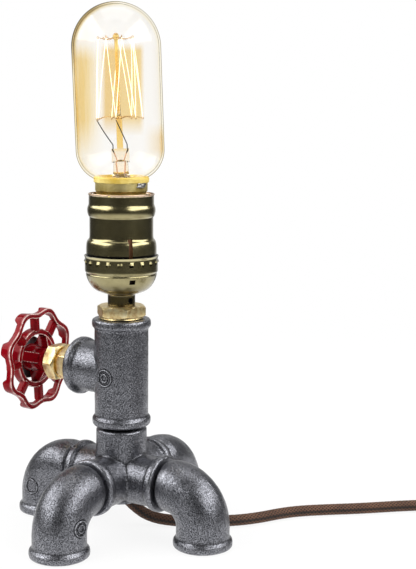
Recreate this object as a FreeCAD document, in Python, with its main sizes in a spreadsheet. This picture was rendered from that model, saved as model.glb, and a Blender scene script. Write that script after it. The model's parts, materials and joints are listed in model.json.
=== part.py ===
"""Industrial pipe table lamp: iron pipe fittings, a brass lamp holder and a handwheel that switches it.

Millimetres. Origin on the table under the column's axis, +Z up. The four legs point along +X, +Y, -X
and -Y, and the side branch with the handwheel points along -X.
"""

import FreeCAD
import Part
import Sketcher

import math
import os

Vector = FreeCAD.Vector
UP = Vector(0, 0, 1)

doc = FreeCAD.newDocument("pipe_table_lamp")
sheet = doc.addObject("Spreadsheet::Sheet", "sizes")


# ---------------------------------------------------------------- driving dimensions


class Size:
    """A length that keeps both its number and the sheet expression that it comes from."""

    def __init__(self, number, text):
        self.number = number
        self.text = text

    def __add__(self, other):
        return Size(self.number + number_of(other), f"({self.text} + {text_of(other)})")

    def __radd__(self, other):
        return self + other

    def __sub__(self, other):
        return Size(self.number - number_of(other), f"({self.text} - {text_of(other)})")

    def __rsub__(self, other):
        return Size(number_of(other) - self.number, f"({text_of(other)} - {self.text})")

    def __mul__(self, other):
        return Size(self.number * number_of(other), f"({self.text} * {text_of(other)})")

    def __rmul__(self, other):
        return self * other

    def __truediv__(self, other):
        return Size(self.number / number_of(other), f"({self.text} / {text_of(other)})")

    def __neg__(self):
        return Size(-self.number, f"(0 - {self.text})")


def number_of(value):
    return value.number if isinstance(value, Size) else float(value)


def text_of(value):
    return value.text if isinstance(value, Size) else f"{value:.6f}"


rows = []


def size(alias, number, meaning):
    """One driving dimension: a row of the sheet with its meaning, number and alias."""
    rows.append(alias)
    row = len(rows)
    sheet.set(f"A{row}", meaning)
    sheet.set(f"B{row}", str(number))
    sheet.setAlias(f"B{row}", alias)
    return Size(float(number), f"sizes.{alias}")


# Half-inch malleable fittings
body_radius = size("body_radius", 13.67, "outside of a fitting's body")
bead_radius = size("bead_radius", 15.28, "crest of the bead round a mouth")
bead_wide = size("bead_wide", 4.8, "width of a bead along its pipe")
bead_round = size("bead_round", 1.7, "rounding of a bead's edges")
thread_bore = size("thread_bore", 9.32, "wall of a female half-inch thread, at its crests")
thread_crest = size("thread_crest", 10.3, "crest of a male half-inch thread where it shows")
thread_deep = size("thread_deep", 14.0, "depth of a female thread")
thread_play = size("thread_play", 0.04, "gap left between a male and a female thread")
mouth_break = size("mouth_break", 0.9, "chamfer in a threaded mouth")
waterway = size("waterway", 7.7, "inside of the elbows and the cross")

# Legs and base
arm_height = size("arm_height", 28.3, "table to the axis of the cross's four outlets")
leg_reach = size("leg_reach", 51.4, "column axis to a foot's axis")
bend_radius = size("bend_radius", 17.6, "centreline radius of an elbow's bend")
shoulder_reach = size("shoulder_reach", 29.6, "column axis to an elbow's shoulder")
outlet_reach = size("outlet_reach", 28.2, "column axis to an outlet's face")
outlet_bead = size("outlet_bead", 14.75, "bead of the cross's outlets")
arm_radius = size("arm_radius", 13.0, "outside of the cross's arms")
neck_radius = size("neck_radius", 13.3, "outside of the cross's upright neck")
neck_top = size("neck_top", 26.5, "arm axis to the shoulder of the neck")
neck_thread = size("neck_thread", 13.5, "thread above the neck's shoulder")
spot_radius = size("spot_radius", 8.6, "flat spot under the cross")
spot_drop = size("spot_drop", 13.7, "arm axis to the flat spot")
floor_thick = size("floor_thick", 3.2, "thickness of the cross's floor round the cord hole")
cord_hole = size("cord_hole", 6.0, "radius of the cord hole")
hole_shift_x = size("hole_shift_x", 1.1, "cord hole off the column axis, along X")
hole_shift_y = size("hole_shift_y", 1.5, "cord hole off the column axis, along Y")

# Tee and its brass
tee_height = size("tee_height", 84.5, "table to the tee's branch axis")
tee_half = size("tee_half", 28.2, "tee centre to each of its faces")
tee_radius = size("tee_radius", 14.0, "outside of the tee's upright body")
branch_radius = size("branch_radius", 13.2, "outside of the branch")
tee_room = size("tee_room", 10.6, "inside of the tee between its threads")
bushing_flats = size("bushing_flats", 22.9, "hexagon bushing across its flats")
bushing_tall = size("bushing_tall", 6.8, "height of the bushing's head")
bushing_chamfer = size("bushing_chamfer", 1.0, "round flange under the bushing's hexagon")
bushing_thread = size("bushing_thread", 11.0, "length of the bushing's thread in the tee")
nipple_radius = size("nipple_radius", 5.0, "outside of the threaded nipple")
nipple_bore = size("nipple_bore", 3.7, "wire-way through the nipple")
nipple_long = size("nipple_long", 24.0, "length of the nipple")
nipple_up = size("nipple_up", 6.0, "nipple above the bushing's head")

# Valve bonnet, spindle and handwheel, measured from the column axis along the branch
bonnet_flats = size("bonnet_flats", 18.0, "bonnet hexagon across its flats")
bonnet_inner = size("bonnet_inner", 16.0, "column axis to the bonnet's inner end")
bonnet_hex_end = size("bonnet_hex_end", 36.6, "column axis to the end of the bonnet's hexagon")
bonnet_end = size("bonnet_end", 43.0, "column axis to the bonnet's outer end")
bonnet_spigot = size("bonnet_spigot", 7.0, "outside of the bonnet's outer thread")
nut_start = size("nut_start", 38.9, "column axis to the packing nut's inner face")
nut_end = size("nut_end", 46.2, "column axis to the packing nut's outer face")
nut_flats = size("nut_flats", 18.0, "packing nut across its flats")
spindle_radius = size("spindle_radius", 3.0, "spindle in its bearing")
drive_half = size("drive_half", 2.0, "half the width of the spindle's square drive")
running_play = size("running_play", 0.06, "radial play of the spindle")
spindle_inner = size("spindle_inner", 7.0, "column axis to the spindle's inner end")
hub_start = size("hub_start", 49.4, "column axis to the hub's inner face")
rim_start = size("rim_start", 54.7, "column axis to the rim's inner edge")
rim_deep = size("rim_deep", 3.0, "depth of the rim between its knobs")
knob_deep = size("knob_deep", 6.2, "depth of the rim at its knobs")
knob_gap = size("knob_gap", 12.4, "open width between two knobs")
lobe_radius = size("lobe_radius", 28.0, "wheel axis to the tip of a lobe")
valley_radius = size("valley_radius", 25.3, "wheel axis to a valley between lobes")
rim_thick = size("rim_thick", 2.7, "thickness of the rim's band")
ring_outer = size("ring_outer", 16.0, "outside of the wheel's inner ring")
ring_thick = size("ring_thick", 2.8, "thickness of the inner ring")
ring_start = size("ring_start", 57.0, "column axis to the inner ring's inner edge")
ring_end = size("ring_end", 62.3, "column axis to the inner ring's outer edge")
spoke_wide = size("spoke_wide", 3.6, "width of a spoke")
spoke_deep = size("spoke_deep", 4.4, "depth of a spoke along the axis")
arm_wide = size("arm_wide", 5.6, "width of a hub arm")
hub_radius = size("hub_radius", 6.2, "outside of the hub")
plate_radius = size("plate_radius", 11.6, "index plate's radius")
plate_thick = size("plate_thick", 0.8, "index plate's thickness")
plate_start = size("plate_start", 62.6, "column axis to the index plate's inner face")

# Rotary switch inside the tee
switch_radius = size("switch_radius", 8.2, "outside of the switch body")
switch_end = size("switch_end", 0.5, "switch body past the column axis")
switch_room = size("switch_room", 6.0, "inside of the switch body")
pin_apart = size("pin_apart", 8.2, "distance between the switch's two contact pins")
pin_radius = size("pin_radius", 1.2, "radius of a contact pin")
rotor_radius = size("rotor_radius", 5.0, "outside of the switch rotor")
rotor_start = size("rotor_start", 6.0, "column axis to the rotor's inner face")
rotor_end = size("rotor_end", 13.4, "column axis to the rotor's outer face")

# Lamp holder, heights above the table
holder_foot = size("holder_foot", 119.5, "bottom of the holder cap's neck")
neck_end = size("neck_end", 125.9, "top of the holder cap's neck")
rim_foot = size("rim_foot", 136.9, "foot of the cap's straight rim")
lip_height = size("lip_height", 145.5, "top of the cap's flared lip")
holder_neck = size("holder_neck", 7.1, "outside of the cap's neck")
holder_rim = size("holder_rim", 18.8, "outside of the cap's rim")
lip_radius = size("lip_radius", 19.2, "outside of the cap's lip")
sheet_thick = size("sheet_thick", 0.6, "thickness of the spun brass")
shell_foot = size("shell_foot", 139.2, "bottom of the holder shell")
shell_top = size("shell_top", 177.4, "top edge of the holder shell")
shell_low = size("shell_low", 18.0, "outside of the shell at the cap")
shell_waist = size("shell_waist", 16.4, "outside of the shell between its beads")
shell_bead = size("shell_bead", 17.5, "crest of the shell's beads")
shell_lip = size("shell_lip", 16.5, "outside of the shell's top edge")
vent_count = 20
vent_wide = size("vent_wide", 2.0, "width of a vent slot")
vent_tall = size("vent_tall", 1.2, "height of a vent slot")
vent_height = size("vent_height", 142.0, "height of the vent slots")
screw_radius = size("screw_radius", 1.6, "radius of the cap's set screw")
dome_hole = size("dome_hole", 2.6, "width of the square hole in the dome")
dome_hole_height = size("dome_hole_height", 133.2, "height of the square hole's middle")
slot_wide = size("slot_wide", 1.5, "width of the shell's slot")
slot_tall = size("slot_tall", 15.4, "height of the shell's slot")
sleeve_radius = size("sleeve_radius", 15.35, "outside of the paper sleeve")
sleeve_thick = size("sleeve_thick", 0.35, "thickness of the paper sleeve")
base_foot = size("base_foot", 132.1, "bottom of the porcelain base, resting in the dome")
base_disc = size("base_disc", 11.5, "thickness of the base's disc")
notch_tall = size("notch_tall", 18.0, "height of the notch cut for a terminal")
terminal_seat = size("terminal_seat", 11.5, "holder axis to a terminal plate's seat")
terminal_plate = size("terminal_plate", 0.6, "thickness of a terminal plate")
terminal_wide = size("terminal_wide", 7.5, "width of a terminal plate")
terminal_height = size("terminal_height", 147.2, "height of the terminal screws")
terminal_screw = size("terminal_screw", 1.45, "radius of a terminal screw's shank")
contact_wide = size("contact_wide", 4.5, "width of the centre contact")
floor_hole = size("floor_hole", 6.2, "hole in the screw shell's floor")
base_top = size("base_top", 153.0, "top of the porcelain base")
base_radius = size("base_radius", 14.7, "outside of the porcelain base")
thread_pitch = size("thread_pitch", 3.629, "pitch of the lamp thread, seven turns to the inch")
thread_turns = 5
screw_shell_crest = size("screw_shell_crest", 13.75, "inside of the screw shell at its narrowest")
screw_shell_root = size("screw_shell_root", 14.45, "inside of the screw shell at its widest")
screw_shell_thick = size("screw_shell_thick", 0.35, "thickness of the screw shell")
screw_shell_foot = size("screw_shell_foot", 153.0, "bottom of the screw shell")
contact_height = size("contact_height", 162.9, "top of the centre contact")

# Bulb
bulb_tip = size("bulb_tip", 163.1, "bottom of the bulb's contact")
cap_foot = size("cap_foot", 164.6, "bottom of the bulb's metal cap")
cap_top = size("cap_top", 184.0, "top of the bulb's metal cap")
cap_root = size("cap_root", 12.4, "root of the cap's thread")
cap_crest = size("cap_crest", 13.2, "crest of the cap's thread")
cap_skirt = size("cap_skirt", 13.4, "outside of the cap's skirt")
cap_thick = size("cap_thick", 0.35, "thickness of the bulb cap's brass")
insulator_radius = size("insulator_radius", 9.95, "outside of the cap's glass insulator")
contact_radius = size("contact_radius", 2.6, "radius of the solder contact's stem")
glass_neck = size("glass_neck", 12.6, "outside of the glass neck")
press_wide = size("press_wide", 9.0, "width of the stem's press")
press_tall = size("press_tall", 7.0, "height of the stem's press")
press_thick = size("press_thick", 3.2, "thickness of the stem's press")
cement_top = size("cement_top", 186.0, "top of the cement ring")
cement_radius = size("cement_radius", 14.2, "outside of the cement ring")
glass_radius = size("glass_radius", 22.5, "outside of the glass tube")
glass_foot = size("glass_foot", 184.6, "bottom of the glass")
glass_swell = size("glass_swell", 199.5, "height at which the glass is full width")
glass_dome = size("glass_dome", 250.6, "height at which the dome begins")
glass_thick = size("glass_thick", 0.9, "thickness of the glass")
glass_lean = size("glass_lean", 2.2, "lean of the glass in its cap, in degrees")
lean_heading = size("lean_heading", 216.75, "direction of the lean round +Z, in degrees")
cage_low = size("cage_low", 215.0, "height of the lower filament support")
cage_high = size("cage_high", 255.5, "height of the upper filament support")
cage_low_radius = size("cage_low_radius", 12.0, "lower filament hooks' radius")
cage_high_radius = size("cage_high_radius", 9.0, "upper filament hooks' radius")
strand_count = 14
filament_radius = size("filament_radius", 0.16, "filament's radius as modelled")
support_radius = size("support_radius", 0.3, "support wire's radius")
stem_foot = size("stem_foot", 186.5, "bottom of the glass stem")
stem_top = size("stem_top", 200.0, "top of the stem's press")
rod_radius = size("rod_radius", 0.9, "radius of the glass rod")
rod_low_radius = size("rod_low_radius", 1.6, "radius of the rod below the cage")

# Cord, coil and plug
cord_radius = size("cord_radius", 3.0, "radius of the braided cord")
core_radius = size("core_radius", 1.2, "radius of one insulated conductor")
coil_x = size("coil_x", 184.0, "centre of the coil, along X")
coil_y = size("coil_y", 101.0, "centre of the coil, along Y")
coil_inner = size("coil_inner", 21.3, "hole of the coil")
coil_outer = size("coil_outer", 45.6, "outside of the coil")
coil_foot = size("coil_foot", 0.8, "underside of the coil, lifted by its tie")
coil_tall = size("coil_tall", 11.35, "height of the coil's two layers")
tie_thick = size("tie_thick", 0.8, "thickness of the tie")
tie_angle = size("tie_angle", 18.0, "width of the tie round the coil, in degrees")
plug_x = size("plug_x", 221.5, "strain relief meets the plug, along X")
plug_y = size("plug_y", 14.5, "strain relief meets the plug, along Y")
plug_heading = size("plug_heading", -101.5, "direction of the plug round +Z, in degrees")
plug_long = size("plug_long", 27.0, "length of the plug body")
plug_wide = size("plug_wide", 24.0, "width of the plug body")
plug_tall = size("plug_tall", 13.0, "height of the plug body")
blade_long = size("blade_long", 17.5, "length of a plug blade outside the plug")
blade_apart = size("blade_apart", 12.7, "distance between the plug blades' middles")
blade_tall = size("blade_tall", 6.35, "height of a plug blade")
blade_thick = size("blade_thick", 1.5, "thickness of a plug blade")
blade_root = size("blade_root", 8.0, "length of a blade inside the plug")
relief_long = size("relief_long", 26.0, "length of the plug's strain relief")

doc.recompute()


# ---------------------------------------------------------------- helpers

pieces = []

# Along the branch: local Z points away from the column, local Y up
BRANCH = FreeCAD.Rotation(Vector(0, -1, 0), Vector(0, 0, 1), Vector(-1, 0, 0))


def bind(item, name, value):
    """Set a property, and tie it to the sheet where its value comes from there."""
    if isinstance(value, Size):
        item.setExpression(name, value.text)
    else:
        setattr(item, name, value)


def place(item, x=0.0, y=0.0, z=0.0, rotation=FreeCAD.Rotation()):
    item.Placement = FreeCAD.Placement(Vector(number_of(x), number_of(y), number_of(z)), rotation)
    for axis, value in (("x", x), ("y", y), ("z", z)):
        if isinstance(value, Size):
            item.setExpression(f"Placement.Base.{axis}", value.text)


def new_body(label):
    body = doc.addObject("PartDesign::Body", label)
    body.Label = label
    pieces.append(body)
    return body


def origin_part(body, role):
    return next(item for item in body.Origin.OriginFeatures if item.Role == role)


def pin(sketch, kind, first, point, value):
    """Hold one coordinate of a sketch point at a value, which the sheet may drive."""
    index = sketch.addConstraint(Sketcher.Constraint(kind, -1, 1, first, point, number_of(value)))
    if isinstance(value, Size):
        sketch.setExpression(f"Constraints[{index}]", value.text)


def hold_radius(sketch, edge, value):
    index = sketch.addConstraint(Sketcher.Constraint("Radius", edge, number_of(value)))
    if isinstance(value, Size):
        sketch.setExpression(f"Constraints[{index}]", value.text)


def new_sketch(body, plane, name, lift=0.0, swing=0.0):
    """An empty sketch on one of the body's own origin planes.

    It can be lifted along the plane's normal, and swung about its own upright axis by an angle in degrees.
    """
    sketch = body.newObject("Sketcher::SketchObject", name)
    sketch.AttachmentSupport = [(origin_part(body, plane), "")]
    sketch.MapMode = "FlatFace"
    rotation = FreeCAD.Rotation(Vector(0, 1, 0), swing)
    sketch.AttachmentOffset = FreeCAD.Placement(Vector(0, 0, number_of(lift)), rotation)
    if isinstance(lift, Size):
        sketch.setExpression("AttachmentOffset.Base.z", lift.text)
    return sketch


def arc_centre(start, end, radius, inward):
    """Centre of the arc from start to end: of the two, the one that lies further inward."""
    middle = (start + end) * 0.5
    chord = end - start
    height = math.sqrt(max(radius**2 - chord.Length**2 / 4, 0.0))
    side = Vector(-chord.y, chord.x, 0).normalize() * height
    return min((middle + side, middle - side), key=inward)


def draw_outline(sketch, corners, depth):
    """A closed outline of straight lines and arcs.

    Each corner is (x, y) or (x, y, bend). A bend is the radius of the arc that leads to the corner: it
    bulges outward where it is positive and inward where it is negative. The function depth says how far
    from the middle of the shape a point lies.
    """
    points = [Vector(number_of(corner[0]), number_of(corner[1]), 0) for corner in corners]
    ends = []
    for index, corner in enumerate(corners):
        start, end = points[index - 1], points[index]
        bend = number_of(corner[2]) if len(corner) > 2 else 0.0
        if not bend:
            edge = sketch.addGeometry(Part.LineSegment(start, end))
            ends.append((edge, 1, 2))
            continue
        centre = arc_centre(start, end, abs(bend), lambda point: math.copysign(1, bend) * depth(point))
        circle = Part.Circle(centre, UP, abs(bend))
        begin, finish = ((p - centre) for p in (start, end))
        turns_left = (end - start).cross(centre - start).z > 0
        first, last = (begin, finish) if turns_left else (finish, begin)
        low, high = math.atan2(first.y, first.x), math.atan2(last.y, last.x)
        edge = sketch.addGeometry(Part.ArcOfCircle(circle, low, high if high > low else high + 2 * math.pi))
        ends.append((edge, 1, 2) if turns_left else (edge, 2, 1))
    for index, corner in enumerate(corners):
        edge, _, tip = ends[index]
        following, tail, _ = ends[(index + 1) % len(ends)]
        sketch.addConstraint(Sketcher.Constraint("Coincident", edge, tip, following, tail))
        pin(sketch, "DistanceX", edge, tip, corner[0])
        pin(sketch, "DistanceY", edge, tip, corner[1])
        if len(corner) > 2 and number_of(corner[2]):
            hold_radius(sketch, edge, corner[2] if number_of(corner[2]) > 0 else -corner[2])


def turn(body, name, outline, axis="Z", angle=360.0, cut=False, hollow=()):
    """Revolve an outline of (along, radius[, bend]) corners about an axis of the body, less a hollow one."""
    plane = "YZ_Plane" if axis == "Y" else "XZ_Plane"
    upright = axis == "Z"
    sketch = new_sketch(body, plane, f"{name}_outline")
    for corners in filter(None, (outline, hollow)):
        swapped = [(c[1], c[0], *c[2:]) for c in corners] if upright else corners
        draw_outline(sketch, swapped, (lambda p: abs(p.x)) if upright else (lambda p: abs(p.y)))
    kind = "PartDesign::Groove" if cut else "PartDesign::Revolution"
    feature = body.newObject(kind, name)
    feature.Profile = sketch
    feature.ReferenceAxis = (sketch, ["V_Axis" if upright else "H_Axis"])
    bind(feature, "Angle", angle)
    feature.Midplane = number_of(angle) < 360
    return checked(body, feature, cut)


def checked(body, feature, cut):
    """Recompute, and stop where a cut has taken nothing away or a pad has added nothing."""
    base = feature.BaseFeature
    before = base.Shape.Volume if base else 0.0
    doc.recompute()
    change = body.Shape.Volume - before
    if (change > -1e-6) if cut else (change < 1e-6):
        raise RuntimeError(f"{body.Label}: {feature.Label} changes the volume by {change:.4f}")
    return feature


def circle(sketch, x, y, radius):
    edge = sketch.addGeometry(Part.Circle(Vector(number_of(x), number_of(y), 0), UP, number_of(radius)))
    pin(sketch, "DistanceX", edge, 3, x)
    pin(sketch, "DistanceY", edge, 3, y)
    hold_radius(sketch, edge, radius)


def extrude(body, name, sketch, length, cut=False, both_ways=False, backwards=False):
    feature = body.newObject("PartDesign::Pocket" if cut else "PartDesign::Pad", name)
    feature.Profile = sketch
    bind(feature, "Length", length)
    feature.Midplane = both_ways
    feature.Reversed = backwards
    return checked(body, feature, cut)


def rectangle(sketch, x, y, wide, tall):
    """A rectangle centred on a point."""
    left, right, low, high = x - wide / 2, x + wide / 2, y - tall / 2, y + tall / 2
    draw_outline(sketch, [(left, low), (right, low), (right, high), (left, high)], lambda p: p.Length)


def rounded_rectangle(sketch, wide, tall, corner):
    """A rectangle about the sketch's origin, its corners rounded."""
    right, high = wide / 2, tall / 2
    corners = [
        (corner - right, -high),
        (right - corner, -high),
        (right, corner - high, corner),
        (right, high - corner),
        (right - corner, high, corner),
        (corner - right, high),
        (-right, high - corner, corner),
        (-right, corner - high),
        (corner - right, -high, corner),
    ]
    draw_outline(sketch, corners[1:], lambda p: p.Length)


def around(body, feature, count, name):
    """Repeat a feature round the body's own Z axis."""
    pattern = body.newObject("PartDesign::PolarPattern", name)
    pattern.Originals = [feature]
    pattern.Axis = (origin_part(body, "Z_Axis"), [""])
    pattern.Angle = 360
    pattern.Occurrences = count
    body.Tip = pattern
    doc.recompute()
    return pattern


def hexagon(body, name, flats, start, length, turned=0.0):
    """A hexagonal pad with both ends chamfered, its corners turned by an angle in degrees."""
    sketch = new_sketch(body, "XY_Plane", f"{name}_outline", start)
    corner = flats / math.sqrt(3)
    angles = [math.radians(turned + 60 * k) for k in range(6)]
    draw_outline(sketch, [(corner * math.cos(a), corner * math.sin(a)) for a in angles], lambda p: p.Length)
    extrude(body, name, sketch, length)
    inner, outer, slope = flats / 2 * 1.01, corner + 0.5, flats / 16
    for tag, face, away in (("near", start, slope), ("far", start + length, -slope)):
        edge = [(face - away * 0.2, inner), (face + away, outer), (face - away * 0.2, outer)]
        turn(body, f"{name}_{tag}_chamfer", edge, cut=True)


def beaded(low, high, radius, crest, wide):
    """Outside of a straight pipe with a bead at each end: corners from its low face to its high face."""
    return [
        (low, crest - bead_round * 0.8),
        (low + bead_round, crest, bead_round),
        (low + wide - bead_round, crest),
        (low + wide, radius, crest - radius + 0.15),
        (high - wide, radius),
        (high - wide + bead_round, crest, crest - radius + 0.15),
        (high - bead_round, crest),
        (high, crest - bead_round * 0.8, bead_round),
    ]


def spun_sheet(outer, thick):
    """Closed outline of a spun sheet wall: its outside corners, then its inside ones on the way back."""
    inside = []
    for k in range(len(outer) - 1, -1, -1):
        along, radius = outer[k][:2]
        bend = outer[k + 1][2:] if k + 1 < len(outer) else ()
        inside.append((along, radius - thick, *bend))
    return outer + inside


def thread_waves(start, radius, turns, crest_bend, root_bend):
    """A round lamp thread as rings: half a pitch out, half a pitch in."""
    corners = [(start, radius)]
    for k in range(1, 2 * turns + 1):
        corners.append((start + thread_pitch * (k / 2), radius, crest_bend if k % 2 else -root_bend))
    return corners


def threaded_mouth(face, inward, bore, deep):
    """Outline that cuts a chamfered threaded mouth: inward is +1 or -1 along the axis."""
    edge, floor = face - inward * 0.5, face + inward * deep
    return [
        (edge, 0.0),
        (edge, bore + mouth_break + 0.5),
        (face + inward * mouth_break, bore),
        (floor, bore),
        (floor, 0.0),
    ]


def tangent_path(points):
    """Straight runs joined by tangent arcs, each as large as its two runs allow, and the arcs' radii."""
    edges, radii = [], []
    here = points[0]
    for before, corner, after in zip(points, points[1:], points[2:]):
        arriving, leaving = corner - before, after - corner
        turned = arriving.getAngle(leaving)
        back = 0.45 * min(arriving.Length, leaving.Length)
        radii.append(back / math.tan(turned / 2))
        start = corner - Vector(arriving).normalize() * back
        end = corner + Vector(leaving).normalize() * back
        inside = (Vector(leaving).normalize() - Vector(arriving).normalize()).normalize()
        middle = corner + inside * (radii[-1] / math.cos(turned / 2) - radii[-1])
        edges += [Part.LineSegment(here, start).toShape(), Part.Arc(start, middle, end).toShape()]
        here = end
    edges.append(Part.LineSegment(here, points[-1]).toShape())
    return Part.Wire(edges), radii


def tube(label, points, radius):
    """A round cord or wire along a tangent path, as a plain closed solid."""
    path, radii = tangent_path([Vector(*p) for p in points])
    heading = Vector(*points[1]) - Vector(*points[0])
    section = Part.Wire(Part.Circle(Vector(*points[0]), heading, number_of(radius)).toShape())
    solid = path.makePipeShell([section], True, False)
    expected = math.pi * number_of(radius) ** 2 * path.Length
    if abs(solid.Volume / expected - 1) > 0.01:
        raise RuntimeError(f"{label}: volume {solid.Volume:.1f}, section times length {expected:.1f}")
    rounded = [round(r, 1) for r in radii]
    print(f"{label}: {path.Length:.1f} mm long, bend radii {rounded} mm")
    return keep_shape(label, solid)


def keep_shape(label, shape):
    """A piece whose solid is worked out above from the sheet's numbers."""
    item = doc.addObject("Part::Feature", label)
    item.Label = label
    item.Shape = shape
    pieces.append(item)
    return item


# ---------------------------------------------------------------- base: cross and legs


def base_cross():
    body = new_body("base_cross")
    arm = beaded(-outlet_reach, outlet_reach, arm_radius, outlet_bead, bead_wide)
    closed = [(-outlet_reach, 0.0)] + arm + [(outlet_reach, 0.0)]
    turn(body, "arms_along_x", closed, "X")
    turn(body, "arms_along_y", closed, "Y")
    thread = thread_bore - thread_play
    neck = [
        (-spot_drop, 0.0),
        (-spot_drop, spot_radius),
        (0.0, spot_radius),
        (0.0, neck_radius),
        (neck_top - 1.4, neck_radius),
        (neck_top, neck_radius - 1.4, 1.5),
        (neck_top, thread),
        (neck_top + neck_thread, thread),
        (neck_top + neck_thread, 0.0),
    ]
    turn(body, "neck", neck)
    through = [
        (-outlet_reach, 0.0),
        (-outlet_reach, waterway),
        (outlet_reach, waterway),
        (outlet_reach, 0.0),
    ]
    turn(body, "waterway_along_x", through, "X", cut=True)
    turn(body, "waterway_along_y", through, "Y", cut=True)
    shaft_top = neck_top + neck_thread
    shaft = [
        (floor_thick - spot_drop, 0.0),
        (floor_thick - spot_drop, waterway),
        (shaft_top, waterway),
        (shaft_top, 0.0),
    ]
    turn(body, "shaft", shaft, cut=True)
    for axis in "XY":
        for sign, tag in ((1, "high"), (-1, "low")):
            mouth = threaded_mouth(sign * outlet_reach, -sign, thread_bore, thread_deep)
            turn(body, f"outlet_{axis.lower()}_{tag}", mouth, axis, cut=True)
    sketch = new_sketch(body, "XY_Plane", "cord_hole_outline", -spot_drop - 1.0)
    circle(sketch, hole_shift_x, hole_shift_y, cord_hole)
    extrude(body, "cord_hole", sketch, floor_thick + 2.0, cut=True, backwards=True)
    place(body, z=arm_height)


def leg_elbow(label, heading):
    """Street elbow: the female mouth stands on the table, the male end lies in the cross."""
    body = new_body(label)
    bend_foot = arm_height - bend_radius
    foot = [
        (0.0, 0.0),
        (0.0, bead_radius - bead_round * 0.8),
        (bead_round, bead_radius, bead_round),
        (bead_wide - bead_round, bead_radius),
        (bead_wide, body_radius, bead_radius - body_radius + 0.15),
        (bend_foot, body_radius),
        (bend_foot, 0.0),
    ]
    turn(body, "foot", foot)

    sketch = new_sketch(body, "XY_Plane", "bend_section", bend_foot)
    sketch.setExpression("AttachmentOffset.Base.x", (-bend_radius).text)
    circle(sketch, bend_radius, 0.0, body_radius)
    bend = body.newObject("PartDesign::Revolution", "bend")
    bend.Profile = sketch
    bend.ReferenceAxis = (sketch, ["V_Axis"])
    bend.Angle = 90
    bend.Reversed = True
    checked(body, bend, False)

    thread = thread_bore - thread_play
    shoulder = shoulder_reach - leg_reach
    tip = outlet_reach - thread_deep - leg_reach + 0.4
    tail = [
        (tip, 0.0),
        (tip, thread - 1.0),
        (tip + 1.0, thread),
        (outlet_reach - leg_reach, thread),
        (outlet_reach - leg_reach + 0.15, thread_crest),
        (shoulder, thread_crest),
        (shoulder, body_radius - 2.2),
        (shoulder + 1.3, body_radius - 0.7, 1.6),
        (-bend_radius, body_radius),
        (-bend_radius, 0.0),
    ]
    raised_turn(body, "male_end", tail, arm_height)

    mouth = threaded_mouth(0.0, 1, thread_bore, thread_deep)
    turn(body, "mouth", mouth, cut=True)
    sketch = new_sketch(body, "XY_Plane", "channel_section", bend_foot)
    sketch.setExpression("AttachmentOffset.Base.x", (-bend_radius).text)
    circle(sketch, bend_radius, 0.0, waterway)
    channel = body.newObject("PartDesign::Groove", "channel")
    channel.Profile = sketch
    channel.ReferenceAxis = (sketch, ["V_Axis"])
    channel.Angle = 90
    channel.Reversed = True
    checked(body, channel, True)
    bore = [(tip - 1.0, 0.0), (tip - 1.0, waterway), (-bend_radius, waterway), (-bend_radius, 0.0)]
    raised_turn(body, "male_bore", bore, arm_height, cut=True)

    angle = math.radians(heading)
    place(
        body,
        leg_reach * math.cos(angle),
        leg_reach * math.sin(angle),
        0.0,
        FreeCAD.Rotation(UP, heading),
    )


def raised_turn(body, name, outline, height, cut=False):
    """Revolve an outline about a line that runs along X at a height above the body's origin."""
    sketch = new_sketch(body, "XZ_Plane", f"{name}_outline")
    sketch.setExpression("AttachmentOffset.Base.y", height.text)
    draw_outline(sketch, outline, lambda p: abs(p.y))
    feature = body.newObject("PartDesign::Groove" if cut else "PartDesign::Revolution", name)
    feature.Profile = sketch
    feature.ReferenceAxis = (sketch, ["H_Axis"])
    feature.Angle = 360
    checked(body, feature, cut)


# ---------------------------------------------------------------- column: tee, bushing, nipple


def column_tee():
    body = new_body("column_tee")
    run = beaded(-tee_half, tee_half, tee_radius, bead_radius, bead_wide)
    turn(body, "run", [(-tee_half, 0.0)] + run + [(tee_half, 0.0)])
    branch = [
        (-tee_half, 0.0),
        (-tee_half, bead_radius - bead_round * 0.8),
        (bead_round - tee_half, bead_radius, bead_round),
        (bead_wide - bead_round - tee_half, bead_radius),
        (bead_wide - tee_half, branch_radius + 0.5, bead_radius - branch_radius),
        (bead_wide + 2.2 - tee_half, branch_radius, -4.0),
        (-tee_radius / 2, branch_radius),
        (-tee_radius / 2, 0.0),
    ]
    turn(body, "branch", branch, "X")
    room_half = tee_half - thread_deep
    room = [(-room_half, 0.0), (-room_half, tee_room), (room_half, tee_room), (room_half, 0.0)]
    turn(body, "room", room, cut=True)
    turn(body, "top_mouth", threaded_mouth(tee_half, -1, thread_bore, thread_deep), cut=True)
    turn(body, "low_mouth", threaded_mouth(-tee_half, 1, thread_bore, thread_deep), cut=True)
    side = [(-room_half - 0.5, 0.0), (-room_half - 0.5, tee_room), (0.0, tee_room), (0.0, 0.0)]
    turn(body, "side_room", side, "X", cut=True)
    turn(body, "side_mouth", threaded_mouth(-tee_half, 1, thread_bore, thread_deep), "X", cut=True)
    place(body, z=tee_height)


BUSHING_CORNER = 19.8


def hex_bushing():
    body = new_body("hex_bushing")
    thread = thread_bore - thread_play
    stem = [
        (-bushing_thread, 0.0),
        (-bushing_thread, thread - 1.0),
        (1.0 - bushing_thread, thread),
        (0.0, thread),
        (0.0, bushing_flats / 2 - 0.3),
        (1.6, bushing_flats / 2 + 0.2),
        (1.6, 0.0),
    ]
    turn(body, "stem", stem)
    head_tall = bushing_tall - bushing_chamfer
    hexagon(body, "head", bushing_flats, bushing_chamfer, head_tall, turned=BUSHING_CORNER)
    bore = [
        (-bushing_thread - 1.0, 0.0),
        (-bushing_thread - 1.0, nipple_radius + thread_play),
        (bushing_tall + 1.0, nipple_radius + thread_play),
        (bushing_tall + 1.0, 0.0),
    ]
    turn(body, "bore", bore, cut=True)
    place(body, z=tee_height + tee_half)


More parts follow.
